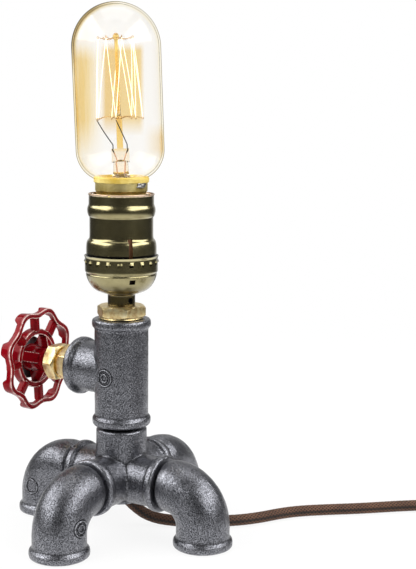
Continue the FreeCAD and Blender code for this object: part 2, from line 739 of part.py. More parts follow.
def threaded_nipple():
    body = new_body("threaded_nipple")
    low = nipple_up - nipple_long
    wall = [
        (low, nipple_bore),
        (low, nipple_radius - 0.5),
        (low + 0.5, nipple_radius),
        (nipple_up - 0.5, nipple_radius),
        (nipple_up, nipple_radius - 0.5),
        (nipple_up, nipple_bore),
    ]
    turn(body, "wall", wall)
    place(body, z=tee_height + tee_half + bushing_tall)


# ---------------------------------------------------------------- branch: bonnet, packing, spindle, wheel


def valve_bonnet():
    body = new_body("valve_bonnet")
    thread = thread_bore - thread_play
    bearing = spindle_radius + running_play
    outside = [
        (bonnet_inner, bearing),
        (bonnet_inner, thread),
        (tee_half, thread),
        (tee_half, bonnet_flats / 2 - 0.2),
        (tee_half + 1.2, bonnet_flats / 2),
        (bonnet_hex_end - 1.0, bonnet_flats / 2),
        (bonnet_hex_end, bonnet_spigot + 1.0, 1.6),
        (bonnet_hex_end + 0.6, bonnet_spigot),
        (bonnet_end, bonnet_spigot),
        (bonnet_end, bearing),
    ]
    turn(body, "core", outside)
    hexagon(body, "grip", bonnet_flats, tee_half + 0.4, bonnet_hex_end - tee_half - 1.4, turned=30.0)
    clear = [
        (bonnet_inner - 1.0, 0.0),
        (bonnet_inner - 1.0, bearing),
        (bonnet_end, bearing),
        (bonnet_end, 0.0),
    ]
    turn(body, "bearing", clear, cut=True)
    place(body, z=tee_height, rotation=BRANCH)


def packing_nut():
    body = new_body("packing_nut")
    hexagon(body, "grip", nut_flats, nut_start, nut_end - nut_start)
    hollow = [
        (nut_start - 1.0, 0.0),
        (nut_start - 1.0, bonnet_spigot + thread_play + 1.1),
        (nut_start + 1.0, bonnet_spigot + thread_play),
        (nut_end - 2.0, bonnet_spigot + thread_play),
        (nut_end - 2.0, spindle_radius + 0.3),
        (nut_end + 1.0, spindle_radius + 0.3),
        (nut_end + 1.0, 0.0),
    ]
    turn(body, "hollow", hollow, cut=True)
    place(body, z=tee_height, rotation=BRANCH)


def packing_ring():
    body = new_body("packing_ring")
    bearing = spindle_radius + running_play
    ring = [
        (bonnet_end, bearing),
        (bonnet_end, bonnet_spigot - 0.4),
        (nut_end - 2.0, bonnet_spigot - 0.4),
        (nut_end - 2.0, bearing),
    ]
    turn(body, "ring", ring)
    place(body, z=tee_height, rotation=BRANCH)


def spindle():
    body = new_body("spindle")
    core = drive_half * 0.9
    rod = [
        (spindle_inner, 0.0),
        (spindle_inner, core),
        (rotor_end + 0.4, core),
        (rotor_end + 0.4, spindle_radius),
        (hub_start + 0.8, spindle_radius),
        (hub_start + 1.6, spindle_radius - 0.6),
        (plate_start - 0.4, spindle_radius - 0.6),
        (plate_start - 0.4, 0.0),
    ]
    turn(body, "rod", rod)
    sketch = new_sketch(body, "XY_Plane", "drive_outline", spindle_inner)
    rectangle(sketch, 0.0, 0.0, drive_half * 2, drive_half * 2)
    extrude(body, "drive", sketch, rotor_end - spindle_inner + 0.4)
    place(body, z=tee_height, rotation=BRANCH)


def lobed_outline(lobe, valley, count, first):
    """Rounded lobes and hollow valleys that meet smoothly, the first lobe at an angle in degrees."""
    crest, dip = number_of(lobe), number_of(valley)
    half = math.pi / count
    meet = half * 0.533
    low, high = half, 2.2
    for _ in range(50):
        lean_in = (low + high) / 2
        out = math.cos(meet) + math.sin(meet) * math.tan(lean_in / 2)
        back = math.cos(half - meet) - math.sin(half - meet) * math.tan((lean_in - half) / 2)
        low, high = (lean_in, high) if out / back < crest / dip else (low, lean_in)
    share = (crest / out - dip) / (crest - dip)
    lobe_bend = math.sin(meet) / math.sin(lean_in) / out
    valley_bend = math.sin(half - meet) / math.sin(lean_in - half) / out
    distance = valley + (lobe - valley) * share
    corners = []
    for k in range(count):
        middle = math.radians(first) + 2 * half * k
        for turned, bend in ((-meet, -valley_bend), (meet, lobe_bend)):
            x, y = math.cos(middle + turned), math.sin(middle + turned)
            corners.append((distance * x, distance * y, lobe * bend))
    return corners


ARM_HEADING = 15.0


def handwheel():
    """Eight-lobed rim with a knob behind each lobe, eight spokes, a ring, and three arms to the hub."""
    body = new_body("handwheel")
    first_lobe = 18.5
    sketch = new_sketch(body, "XY_Plane", "rim_outside", rim_start)
    draw_outline(sketch, lobed_outline(lobe_radius, valley_radius, 8, first_lobe), lambda p: p.Length)
    extrude(body, "rim", sketch, knob_deep)
    sketch = new_sketch(body, "XY_Plane", "rim_inside", rim_start + knob_deep + 0.5)
    inner = lobed_outline(lobe_radius - rim_thick, valley_radius - rim_thick, 8, first_lobe)
    draw_outline(sketch, inner, lambda p: p.Length)
    extrude(body, "opening", sketch, knob_deep + 1.0, cut=True)

    def radial_block(name, start, near, far, wide):
        """Sketch of a rectangle that points along a valley of the rim."""
        block = new_sketch(body, "XY_Plane", name, start)
        angle = math.radians(first_lobe + 22.5)
        along = Vector(math.cos(angle), math.sin(angle), 0)
        corners = []
        for distance, side in ((near, -0.5), (far, -0.5), (far, 0.5), (near, 0.5)):
            x = distance * along.x - wide * (side * along.y)
            y = distance * along.y + wide * (side * along.x)
            corners.append((x, y))
        draw_outline(block, corners, lambda p: p.Length)
        return block

    gap_near = valley_radius - rim_thick - 3.0
    sketch = radial_block("gap_outline", rim_start + rim_deep, gap_near, lobe_radius + 2.0, knob_gap)
    gap = body.newObject("PartDesign::Pocket", "gap")
    gap.Profile = sketch
    gap.Reversed = True
    bind(gap, "Length", knob_deep)
    doc.recompute()
    around(body, gap, 8, "gaps")

    spoke_far = valley_radius - rim_thick + 1.0
    sketch = radial_block("spoke_outline", rim_start + 0.8, ring_outer - 1.5, spoke_far, spoke_wide)
    spoke = body.newObject("PartDesign::Pad", "spoke")
    spoke.Profile = sketch
    bind(spoke, "Length", spoke_deep)
    doc.recompute()
    around(body, spoke, 8, "spokes")

    ring_inner = ring_outer - ring_thick
    ring = [
        (ring_start, ring_inner + 0.6),
        (ring_start, ring_outer - 0.6),
        (ring_start + 0.9, ring_outer, 1.2),
        (ring_end - 0.9, ring_outer),
        (ring_end, ring_outer - 0.6, 1.2),
        (ring_end, ring_inner + 0.6),
        (ring_end - 0.9, ring_inner, -1.2),
        (ring_start + 0.9, ring_inner),
        (ring_start, ring_inner + 0.6, -1.2),
    ]
    turn(body, "ring", ring[:-1])

    arm_end = plate_start - 0.04
    arm_tip = ring_inner + 0.8
    sketch = new_sketch(body, "XZ_Plane", "arm_outline", 0.0, ARM_HEADING)
    slope = [
        (0.0, hub_start + 2.0),
        (hub_radius, hub_start + 2.0),
        (arm_tip, ring_start + 0.9),
        (arm_tip, arm_end),
        (0.0, arm_end),
    ]
    draw_outline(sketch, slope, lambda p: p.Length)
    arm = body.newObject("PartDesign::Pad", "arm")
    arm.Profile = sketch
    arm.Midplane = True
    bind(arm, "Length", arm_wide)
    doc.recompute()
    around(body, arm, 3, "arms")

    hub = [
        (hub_start, 0.0),
        (hub_start, hub_radius - 1.0),
        (hub_start + 0.9, hub_radius, 1.2),
        (arm_end, hub_radius + 1.6),
        (arm_end, 0.0),
    ]
    turn(body, "hub", hub)
    bore = spindle_radius + 0.02
    eye = [
        (hub_start - 1.0, 0.0),
        (hub_start - 1.0, bore),
        (hub_start + 0.8, bore),
        (hub_start + 1.6, bore - 0.6),
        (plate_start + 1.0, bore - 0.6),
        (plate_start + 1.0, 0.0),
    ]
    turn(body, "eye", eye, cut=True)
    place(body, z=tee_height, rotation=BRANCH)


def index_plate():
    body = new_body("index_plate")
    end = plate_start + plate_thick
    disc = [
        (plate_start, 2.1),
        (plate_start, plate_radius - 0.3),
        (plate_start + 0.3, plate_radius, 0.4),
        (end - 0.3, plate_radius),
        (end, plate_radius - 0.3, 0.4),
        (end, 2.1),
    ]
    turn(body, "disc", disc)
    place(body, z=tee_height, rotation=BRANCH)


def handwheel_screw():
    body = new_body("handwheel_screw")
    seat = plate_start + plate_thick
    head = [
        (plate_start - 0.4, 0.0),
        (plate_start - 0.4, 2.0),
        (seat, 2.0),
        (seat, 4.2),
        (seat + 0.5, 4.2),
        (seat + 2.3, 1.8, 4.6),
        (seat + 2.3, 0.0),
    ]
    turn(body, "head", head)
    sketch = new_sketch(body, "XY_Plane", "slot_outline", seat + 2.6)
    corners = [(-4.6, -0.5), (4.6, -0.5), (4.6, 0.5), (-4.6, 0.5)]
    draw_outline(sketch, corners, lambda p: p.Length)
    extrude(body, "slot", sketch, 1.3, cut=True)
    place(body, z=tee_height, rotation=BRANCH)


# ---------------------------------------------------------------- rotary switch


def switch_body():
    body = new_body("switch_body")
    bearing = spindle_radius + 0.25
    cup = [
        (-switch_end, 0.0),
        (-switch_end, switch_radius - 0.8),
        (0.8 - switch_end, switch_radius, 1.0),
        (bonnet_inner, switch_radius),
        (bonnet_inner, bearing),
        (bonnet_inner - 1.4, bearing),
        (bonnet_inner - 1.4, switch_room),
        (rotor_start - 0.8, switch_room),
        (rotor_start - 0.8, 0.0),
    ]
    turn(body, "cup", cup)
    sketch = new_sketch(body, "XY_Plane", "terminal_holes", -switch_end - 1.0)
    for side in (1, -1):
        circle(sketch, side * pin_apart / 2, 0.0, pin_radius + 0.05)
    extrude(body, "terminals", sketch, rotor_start + 2.0, cut=True, backwards=True)
    place(body, z=tee_height, rotation=BRANCH)


def switch_rotor():
    """Four-lobed cam, square-bored, that bridges the contacts every quarter turn."""
    body = new_body("switch_rotor")
    sketch = new_sketch(body, "XY_Plane", "cam_outline", rotor_start)
    draw_outline(sketch, lobed_outline(rotor_radius, rotor_radius * 0.6, 4, 45.0), lambda p: p.Length)
    extrude(body, "cam", sketch, rotor_end - rotor_start)
    hole = new_sketch(body, "XY_Plane", "drive_hole_outline", spindle_inner - 0.02)
    rectangle(hole, 0.0, 0.0, drive_half * 2 + 0.04, drive_half * 2 + 0.04)
    extrude(body, "drive_hole", hole, rotor_end - spindle_inner + 1.0, cut=True, backwards=True)
    place(body, z=tee_height, rotation=BRANCH)


def switch_contacts():
    """Two brass pins with flat heads, one for each conductor."""
    body = new_body("switch_contacts")
    for side, tag in ((1, "first"), (-1, "second")):
        sketch = new_sketch(body, "XY_Plane", f"{tag}_pin", -switch_end - 1.6)
        circle(sketch, side * pin_apart / 2, 0.0, pin_radius)
        feature = body.newObject("PartDesign::Pad", f"{tag}_contact")
        feature.Profile = sketch
        bind(feature, "Length", rotor_start + switch_end + 1.3)
        doc.recompute()
    place(body, z=tee_height, rotation=BRANCH)


# ---------------------------------------------------------------- lamp holder


VENT_HEADING = -55.5
SCREW_HEADING = -11.0
DOME_HOLE_HEADING = -34.7
SHELL_SLOT_HEADING = -38.0


def socket_cap():
    """Spun cap: threaded neck, round dome and a straight rim with a flared lip."""
    body = new_body("socket_cap")
    inner = holder_rim - sheet_thick
    outline = [
        (holder_foot, nipple_radius + thread_play),
        (holder_foot, holder_neck - 0.3),
        (holder_foot + 0.4, holder_neck),
        (neck_end, holder_neck),
        (neck_end + 1.2, holder_neck + 2.2, -2.4),
        (rim_foot - 0.6, holder_rim - 0.5, 16.6),
        (rim_foot, holder_rim),
        (lip_height - 1.4, holder_rim),
        (lip_height, lip_radius, -4.0),
        (lip_height, lip_radius - sheet_thick),
        (lip_height - 1.4, inner, -4.0),
        (rim_foot, inner),
        (rim_foot - 0.2, inner - 0.5),
        (neck_end + 1.4, holder_neck + 1.0, 16.0),
        (neck_end + 0.6, nipple_radius + thread_play),
    ]
    turn(body, "spun_cap", outline)
    hole = new_sketch(body, "YZ_Plane", "screw_hole_outline", swing=SCREW_HEADING - VENT_HEADING)
    circle(hole, 0.0, holder_foot + 2.9, screw_radius + 0.05)
    extrude(body, "screw_hole", hole, holder_neck + 1.0, cut=True, backwards=True)
    hole = new_sketch(body, "YZ_Plane", "dome_hole_outline", swing=DOME_HOLE_HEADING - VENT_HEADING)
    rectangle(hole, 0.0, dome_hole_height, dome_hole, dome_hole * 0.85)
    extrude(body, "dome_hole", hole, holder_rim + 1.0, cut=True, backwards=True)
    vent = new_sketch(body, "YZ_Plane", "vent_outline")
    rectangle(vent, 0.0, vent_height, vent_wide, vent_tall)
    slot = extrude(body, "vent", vent, holder_rim + 2.0, cut=True, backwards=True)
    around(body, slot, vent_count, "vents")
    place(body, rotation=FreeCAD.Rotation(UP, VENT_HEADING))


def cap_set_screw():
    """Grub screw with a driving socket, radial in the cap's neck."""
    body = new_body("cap_set_screw")
    inner = nipple_radius + 0.02
    outline = [
        (inner, 0.0),
        (inner, screw_radius - 0.5),
        (inner + 0.5, screw_radius),
        (holder_neck - 0.5, screw_radius),
        (holder_neck - 0.3, screw_radius - 0.25),
        (holder_neck - 0.3, screw_radius * 0.5),
        (holder_neck - 1.2, screw_radius * 0.5),
        (holder_neck - 1.2, 0.0),
    ]
    turn(body, "screw", outline, "X")
    place(body, z=holder_foot + 2.9, rotation=FreeCAD.Rotation(UP, SCREW_HEADING))


def socket_shell():
    """Spun shell with two rolled beads, a rolled top edge and a release slot at its foot."""
    body = new_body("socket_shell")
    low_bead, high_bead = shell_foot + 14.2, shell_top - 8.9
    outer = [
        (shell_foot, shell_low),
        (shell_foot + 9.6, shell_low),
        (low_bead, shell_bead, 9.0),
        (low_bead + 1.5, shell_waist + 0.35, 3.0),
        (low_bead + 3.0, shell_waist, -2.6),
        (high_bead - 3.0, shell_waist - 0.1),
        (high_bead - 1.5, shell_waist + 0.15, -2.4),
        (high_bead + 1.5, shell_waist + 0.05, 1.75),
        (high_bead + 2.9, shell_waist - 0.35, -2.4),
        (shell_top - 1.7, shell_waist - 0.35),
        (shell_top, shell_lip, -3.4),
    ]
    turn(body, "spun_shell", spun_sheet(outer, sheet_thick * 0.85))
    slot = new_sketch(body, "YZ_Plane", "slot_outline")
    rectangle(slot, 0.0, shell_foot + 8.2, slot_wide, slot_tall)
    extrude(body, "slot", slot, shell_low + 1.0, cut=True, backwards=True)
    place(body, rotation=FreeCAD.Rotation(UP, SHELL_SLOT_HEADING))


def insulating_sleeve():
    body = new_body("insulating_sleeve")
    low, high = base_top - 9.5, shell_top - 1.8
    inner = sleeve_radius - sleeve_thick
    wall = [(low, inner), (low, sleeve_radius), (high, sleeve_radius), (high, inner)]
    turn(body, "wall", wall)


def socket_base():
    """Porcelain base: a thick disc on a skirt, with a notch on each side for a terminal."""
    body = new_body("socket_base")
    skirt_inner = base_radius - 2.7
    outline = [
        (base_foot, skirt_inner),
        (base_foot, base_radius - 0.6),
        (base_foot + 0.6, base_radius, 0.7),
        (base_top - 1.0, base_radius),
        (base_top, base_radius - 1.0, 1.1),
        (base_top, 0.0),
        (base_top - base_disc, 0.0),
        (base_top - base_disc, skirt_inner),
    ]
    turn(body, "porcelain", outline)
    for side, tag in ((1, "live"), (-1, "neutral")):
        notch = new_sketch(body, "YZ_Plane", f"{tag}_notch_outline")
        middle = base_radius + terminal_seat
        rectangle(notch, side * middle / 2, base_top - 11.0, base_radius - terminal_seat + 1.0, notch_tall)
        extrude(body, f"{tag}_notch", notch, terminal_wide + 2.0, cut=True, both_ways=True)
        hole = new_sketch(body, "XZ_Plane", f"{tag}_hole_outline")
        circle(hole, 0.0, terminal_height, terminal_screw + 0.05)
        extrude(body, f"{tag}_hole", hole, terminal_seat + 1.0, cut=True, backwards=side < 0)


def terminal_plates():
    """Two brass plates seated on the porcelain, one behind each terminal screw."""
    body = new_body("terminal_plates")
    for side, tag in ((1, "live"), (-1, "neutral")):
        face = new_sketch(body, "XZ_Plane", f"{tag}_plate_outline", -side * terminal_seat)
        rectangle(face, 0.0, terminal_height, terminal_wide, terminal_wide * 0.9)
        circle(face, 0.0, terminal_height, terminal_screw + 0.05)
        plate = body.newObject("PartDesign::Pad", f"{tag}_plate")
        plate.Profile = face
        bind(plate, "Length", terminal_plate)
        plate.Reversed = side > 0
        doc.recompute()


def terminal_screws():
    """Two brass screws with slotted cheese heads, their shanks in the porcelain."""
    body = new_body("terminal_screws")
    seat = terminal_seat + terminal_plate
    for side in (1, -1):
        tip = terminal_seat - 4.5
        outline = [
            (side * tip, 0.0),
            (side * tip, terminal_screw),
            (side * seat, terminal_screw),
            (side * seat, terminal_screw * 2),
            (side * (seat + 1.1), terminal_screw * 2),
            (side * (seat + 1.5), terminal_screw * 2 - 0.4),
            (side * (seat + 1.5), 0.0),
        ]
        sketch = new_sketch(body, "YZ_Plane", f"screw_{'live' if side > 0 else 'neutral'}")
        sketch.setExpression("AttachmentOffset.Base.y", terminal_height.text)
        draw_outline(sketch, outline, lambda p: abs(p.y))
        screw = body.newObject("PartDesign::Revolution", f"turned_{'live' if side > 0 else 'neutral'}")
        screw.Profile = sketch
        screw.ReferenceAxis = (sketch, ["H_Axis"])
        screw.Angle = 360
        doc.recompute()


def screw_shell():
    """Thin brass thread shell with a floor that is riveted to the porcelain."""
    body = new_body("screw_shell")
    middle = (screw_shell_crest + screw_shell_root) / 2 + screw_shell_thick
    start = screw_shell_foot + 3.2
    outer = [(screw_shell_foot, middle - 1.2), (screw_shell_foot + 1.2, middle, 1.3), (start, middle)]
    outer += thread_waves(start, middle, thread_turns, 1.7, 1.0)[1:]
    outer.append((start + thread_pitch * thread_turns + 0.8, middle))
    turn(body, "wall", spun_sheet(outer, screw_shell_thick))
    floor = [
        (screw_shell_foot, floor_hole),
        (screw_shell_foot, middle - 1.25),
        (screw_shell_foot + screw_shell_thick, middle - 1.0),
        (screw_shell_foot + screw_shell_thick, floor_hole),
    ]
    turn(body, "floor", floor)


def centre_contact():
    """Springy brass strip: a foot on the porcelain, a leg that slopes up and a pad under the bulb."""
    body = new_body("centre_contact")
    gauge = 0.45
    low, high = base_top, contact_height
    strip = [
        (-4.5, low),
        (3.5, low),
        (3.5, low + gauge),
        (-3.6, low + gauge),
        (3.4, high - 1.0),
        (3.4, high),
        (-2.6, high),
        (-2.6, high - gauge),
        (2.6, high - gauge),
        (-4.5, low + 0.6),
    ]
    sketch = new_sketch(body, "XZ_Plane", "strip_outline")
    draw_outline(sketch, strip, lambda p: p.Length)
    extrude(body, "strip", sketch, contact_wide, both_ways=True)


# ---------------------------------------------------------------- bulb


def bulb_cap():
    """Brass cap with a round lamp thread and a plain skirt."""
    body = new_body("bulb_cap")
    middle = (cap_root + cap_crest) / 2
    start = cap_foot + 2.4
    outer = [(cap_foot + 0.9, insulator_radius + cap_thick + 0.05), (start, middle, 2.6)]
    outer += thread_waves(start, middle, 3, 1.3, 1.3)[1:]
    outer += [
        (start + thread_pitch * 3 + 0.9, cap_skirt, -1.6),
        (cap_top, cap_skirt),
    ]
    turn(body, "wall", spun_sheet(outer, cap_thick))


def bulb_insulator():
    """Black glass plug in the bottom of the cap."""
    body = new_body("bulb_insulator")
    outline = [
        (bulb_tip + 0.7, contact_radius + 0.05),
        (bulb_tip + 0.9, insulator_radius * 0.55),
        (cap_foot + 0.85, insulator_radius),
        (cap_foot + 2.0, insulator_radius),
        (cap_foot + 2.0, contact_radius + 0.05),
    ]
    turn(body, "plug", outline)


def bulb_contact():
    """Solder button on the bottom of the bulb."""
    body = new_body("bulb_contact")
    outline = [
        (bulb_tip, 0.0),
        (bulb_tip, 0.8),
        (bulb_tip + 0.65, contact_radius + 1.0, 8.0),
        (bulb_tip + 0.7, contact_radius),
        (cap_foot + 1.3, contact_radius),
        (cap_foot + 1.3, 0.0),
    ]
    turn(body, "button", outline)


def bulb_cement():
    """Yellow cement between the cap and the glass."""
    body = new_body("bulb_cement")
    outline = [
        (cap_top - 2.0, cap_skirt - cap_thick - 0.7),
        (cap_top - 2.0, cap_skirt - cap_thick),
        (cap_top, cap_skirt - cap_thick),
        (cap_top, cap_skirt + 0.1),
        (cement_top - 0.7, cement_radius, 2.0),
        (cement_top, cement_radius - 0.6, 0.8),
        (cement_top - 1.0, cap_skirt - cap_thick - 0.7),
    ]
    turn(body, "ring", outline)


def lean(item):
    """Tip a piece of the glass assembly about the top of the cap, the way the glass is set in it."""
    angle = math.radians(lean_heading.number)
    towards = Vector(math.cos(angle), math.sin(angle), 0)
    rotation = FreeCAD.Rotation(UP.cross(towards), glass_lean.number)
    pivot = Vector(0, 0, cap_top.number)
    item.Placement = FreeCAD.Placement(pivot - rotation.multVec(pivot), rotation)


def bulb_glass():
    """Tube-shaped envelope: neck in the cap, swelling shoulder, straight tube and round dome."""
    body = new_body("bulb_glass")
    inner = glass_radius - glass_thick
    neck = glass_neck - glass_thick
    outline = [
        (cap_top - 5.0, glass_neck - 0.3),
        (glass_foot - 0.6, glass_neck - 0.1),
        (glass_foot + 0.5, glass_neck + 1.1, -1.5),
        (glass_swell, glass_radius, 16.1),
        (glass_dome, glass_radius),
        (glass_dome + glass_radius, 0.0, glass_radius),
        (glass_dome + inner, 0.0),
        (glass_dome, inner, inner),
        (glass_swell, inner),
        (glass_foot + 1.3, neck + 0.9, 15.2),
        (glass_foot, neck - 0.1, -2.0),
        (cap_top - 5.0, neck - 0.3),
    ]
    turn(body, "envelope", outline)
    lean(body)


LEAD_HEADING = 36.75


def bulb_stem():
    """Glass flare that closes the neck, and the flat press that the wires pass through."""
    body = new_body("bulb_stem")
    neck = glass_neck - glass_thick - 0.3
    flare = [
        (cap_top - 4.6, 0.0),
        (cap_top - 4.6, neck),
        (cap_top - 3.8, neck),
        (stem_foot + 2.5, 4.0, -9.0),
        (stem_top - 6.5, 3.6),
        (stem_top - 5.0, 0.0),
    ]
    turn(body, "flare", flare)
    press = new_sketch(body, "XY_Plane", "press_outline", stem_top - press_tall)
    rounded_rectangle(press, press_wide, press_thick, press_thick / 2.2)
    extrude(body, "press", press, press_tall)
    lean(body)
    swing = FreeCAD.Placement(Vector(), FreeCAD.Rotation(UP, LEAD_HEADING))
    body.Placement = body.Placement.multiply(swing)


def bulb_rod():
    """Glass rod from the press up to the button that holds the upper hooks."""
    body = new_body("bulb_rod")
    outline = [
        (stem_top, 0.0),
        (stem_top, rod_low_radius),
        (cage_low - 0.8, rod_low_radius),
        (cage_low + 1.4, rod_radius + 0.5),
        (cage_low + 2.4, rod_radius),
        (cage_high - 1.4, rod_radius),
        (cage_high - 0.6, rod_radius + 0.7, -1.2),
        (cage_high + 0.6, rod_radius + 0.7),
        (cage_high + 1.3 + rod_radius, 0.0, rod_radius + 0.7),
    ]
    turn(body, "rod", outline)
    lean(body)


HOOK_COUNT = strand_count // 2
HOOK_STEP = 360.0 / HOOK_COUNT
FIRST_HOOK = 160.0


def hook_point(level, radius, index):
    """Place of a hook: the upper hooks stand halfway between the lower ones."""
    shift = 0.5 if level is cage_high else 0.0
    angle = math.radians(LEAD_HEADING + FIRST_HOOK + (index + shift) * HOOK_STEP)
    return Vector(radius.number * math.cos(angle), radius.number * math.sin(angle), level.number)


def wire_frame(label, runs, radius):
    """Thin round wires along straight runs, with a ball at every end, as one solid."""
    solids = []
    for run in runs:
        for start, end in zip(run, run[1:]):
            solids.append(Part.makeCylinder(radius, (end - start).Length, start, end - start))
        solids += [Part.makeSphere(radius * 1.001, point) for point in run]
    item = keep_shape(label, solids[0].multiFuse(solids[1:]).removeSplitter())
    lean(item)


def filament_supports():
    """Wire hooks that stand out from the rod at two levels."""
    runs = []
    for level, radius, tilt in ((cage_low, cage_low_radius, 1.4), (cage_high, cage_high_radius, -1.0)):
        for k in range(HOOK_COUNT):
            tip = hook_point(level, radius, k)
            root = Vector(0, 0, level.number)
            heading = Vector(tip - root).normalize()
            eye = tip + heading * 0.9 + Vector(0, 0, tilt * 0.5)
            runs.append([root + heading * rod_radius.number * 0.8, tip, eye])
    wire_frame("filament_supports", runs, support_radius.number)


def filament():
    """Squirrel-cage filament: one wire that zigzags between the lower and the upper hooks."""
    gap = Vector(0, 0, support_radius.number + filament_radius.number + 0.02)
    points = []
    for k in range(HOOK_COUNT):
        points.append(hook_point(cage_low, cage_low_radius, k) + gap)
        if k + 1 < HOOK_COUNT:
            points.append(hook_point(cage_high, cage_high_radius, k) - gap)
    wire_frame("filament", [points], filament_radius.number)


def lead_wires():
    """Two wires from the press to the first and the last lower hook."""
    angle = math.radians(LEAD_HEADING)
    across = Vector(math.cos(angle), math.sin(angle), 0)
    gap = Vector(0, 0, support_radius.number * 2 + 0.05)
    runs = []
    for side, hook in ((-1, 0), (1, 2)):
        foot = across * (side * press_wide.number * 0.4) + Vector(0, 0, stem_top.number - 0.6)
        under_hook = hook_point(cage_low, cage_low_radius, hook) - gap
        runs.append([foot, foot + Vector(0, 0, 1.6), under_hook])
    wire_frame("lead_wires", runs, support_radius.number)


# ---------------------------------------------------------------- wiring inside the pipes

CORD_EXIT = (2.2, 2.8, 14.4)
CORD_INSIDE = [(-2.6, -2.4, 61.0), (-2.6, -2.4, 22.0), CORD_EXIT]
LIVE_WIRE = [
    (-1.65, -3.35, 61.0),
    (-1.65, -3.35, 65.5),
    (5.5, -4.6, 74.5),
    (6.2, -4.1, 84.5),
    (2.15, -4.1, 84.5),
]
NEUTRAL_WIRE = [
    (-3.55, -1.45, 61.0),
    (-3.55, -1.45, 66.0),
    (6.6, -0.2, 75.0),
    (6.4, -0.6, 92.5),
    (1.55, -0.6, 99.5),
    (1.5, -0.4, 127.5),
    (0.8, -6.5, 134.0),
    (0.0, -12.9, 137.6),
    (0.0, -13.3, 143.6),
]
SWITCHED_WIRE = [
    (2.15, 4.1, 84.5),
    (6.0, 4.1, 84.55),
    (6.0, 3.6, 92.0),
    (-1.55, 0.6, 99.5),
    (-1.5, 0.4, 127.5),
    (-0.8, 6.5, 134.0),
    (0.0, 12.9, 137.6),
    (0.0, 13.3, 143.6),
]


def cord_bush():
    """Rubber bush pressed into the cord hole, with a flange on the cross's floor inside."""
    low = arm_height.number - spot_drop.number
    top = low + floor_thick.number
    x, y = hole_shift_x.number, hole_shift_y.number
    sleeve = Part.makeCylinder(cord_hole.number - 0.02, top - low, Vector(x, y, low))
    flange = Part.makeCylinder(cord_hole.number + 0.55, 1.2, Vector(x, y, top))
    flange = flange.common(Part.makeCylinder(waterway.number - 0.02, 1.2, Vector(0, 0, top)))
    heading = Vector(*CORD_EXIT) - Vector(*CORD_INSIDE[1])
    way = cord_radius.number + 0.02
    bore = Part.makeCylinder(way, heading.Length * 1.6, Vector(*CORD_INSIDE[1]), heading)
    keep_shape("cord_bush", sleeve.fuse(flange).cut(bore).removeSplitter())


# ---------------------------------------------------------------- cord, coil and plug

CORD_ROUTE = [
    CORD_EXIT,
    (6.13, 7.05, 8.18),
    (12.2, 11.6, 4.1),
    (20.4, 15.0, 3.02),
    (32.0, 20.5, 3.02),
    (49.8, 34.3, 3.02),
    (58.4, 46.2, 3.02),
    (64.1, 57.9, 3.02),
    (71.1, 67.7, 3.02),
    (83.7, 79.2, 3.02),
    (96.7, 90.1, 3.02),
    (113.3, 106.5, 3.02),
    (128.0, 119.0, 3.02),
    (143.5, 129.8, 3.1),
    (158.4, 136.6, 3.7),
]
TAIL_ROUTE = [
    (221.1, 114.5, 9.15),
    (227.0, 98.5, 8.9),
    (231.2, 82.5, 5.6),
    (231.4, 67.5, 3.1),
    (229.1, 52.5, 4.6),
    (226.7, 40.0, 6.5),
]


def cord_coil():
    """The cord that is put away: a ring of two layers of turns, as one closed solid."""
    body = new_body("cord_coil")
    edge, slope = 2.3, 2.6
    ring = [
        (0.0, coil_inner + edge),
        (0.0, coil_outer - edge),
        (edge, coil_outer, edge + 0.2),
        (coil_tall * 0.42, coil_outer),
        (coil_tall * 0.8, coil_outer - slope),
        (coil_tall, coil_outer - slope * 2, 3.2),
        (coil_tall, coil_inner + slope * 2),
        (coil_tall * 0.8, coil_inner + slope, -3.2),
        (coil_tall * 0.42, coil_inner),
        (edge, coil_inner),
        (0.0, coil_inner + edge, -edge - 0.2),
    ]
    turn(body, "turns", ring[1:])
    place(body, coil_x, coil_y, coil_foot)


def cord_tie():
    """Strap round the coil's section."""
    body = new_body("cord_tie")
    gap, slope = 0.08, 2.6

    def band(out):
        shoulder, crown = slope - out * 1.3, slope * 2 - out * 1.3
        return [
            (-out, coil_inner - out),
            (-out, coil_outer + out),
            (coil_tall * 0.45, coil_outer + out),
            (coil_tall * 0.8, coil_outer - shoulder),
            (coil_tall + out, coil_outer - crown, out + 3.2),
            (coil_tall + out, coil_inner + crown),
            (coil_tall * 0.8, coil_inner + shoulder, -(out + 3.2)),
            (coil_tall * 0.45, coil_inner - out),
        ]

    turn(body, "strap", band(tie_thick - 0.01), angle=tie_angle, hollow=band(gap))
    place(body, coil_x, coil_y, coil_foot, FreeCAD.Rotation(UP, 250.0))


def place_on_plug(item):
    place(item, plug_x, plug_y, plug_tall / 2, FreeCAD.Rotation(UP, plug_heading.number))


def plug_body():
    """Moulded flat plug body, its local X towards the blades."""
    body = new_body("plug_body")
    section = new_sketch(body, "YZ_Plane", "section")
    rounded_rectangle(section, plug_wide, plug_tall, plug_tall * 0.32)
    pad = extrude(body, "moulding", section, plug_long)
    ends = [
        f"Edge{k + 1}"
        for k, edge in enumerate(pad.Shape.Edges)
        if edge.BoundBox.XLength < 1e-6
    ]
    fillet = body.newObject("PartDesign::Fillet", "end_rounding")
    fillet.Base = (pad, ends)
    bind(fillet, "Radius", plug_tall * 0.15)
    doc.recompute()
    for side, tag in ((1, "left"), (-1, "right")):
        slot = new_sketch(body, "YZ_Plane", f"{tag}_slot", plug_long - blade_root)
        rectangle(slot, side * blade_apart / 2, 0.0, blade_thick + 0.04, blade_tall + 0.04)
        extrude(body, f"{tag}_pocket", slot, blade_root + 1.0, cut=True, backwards=True)
    place_on_plug(body)


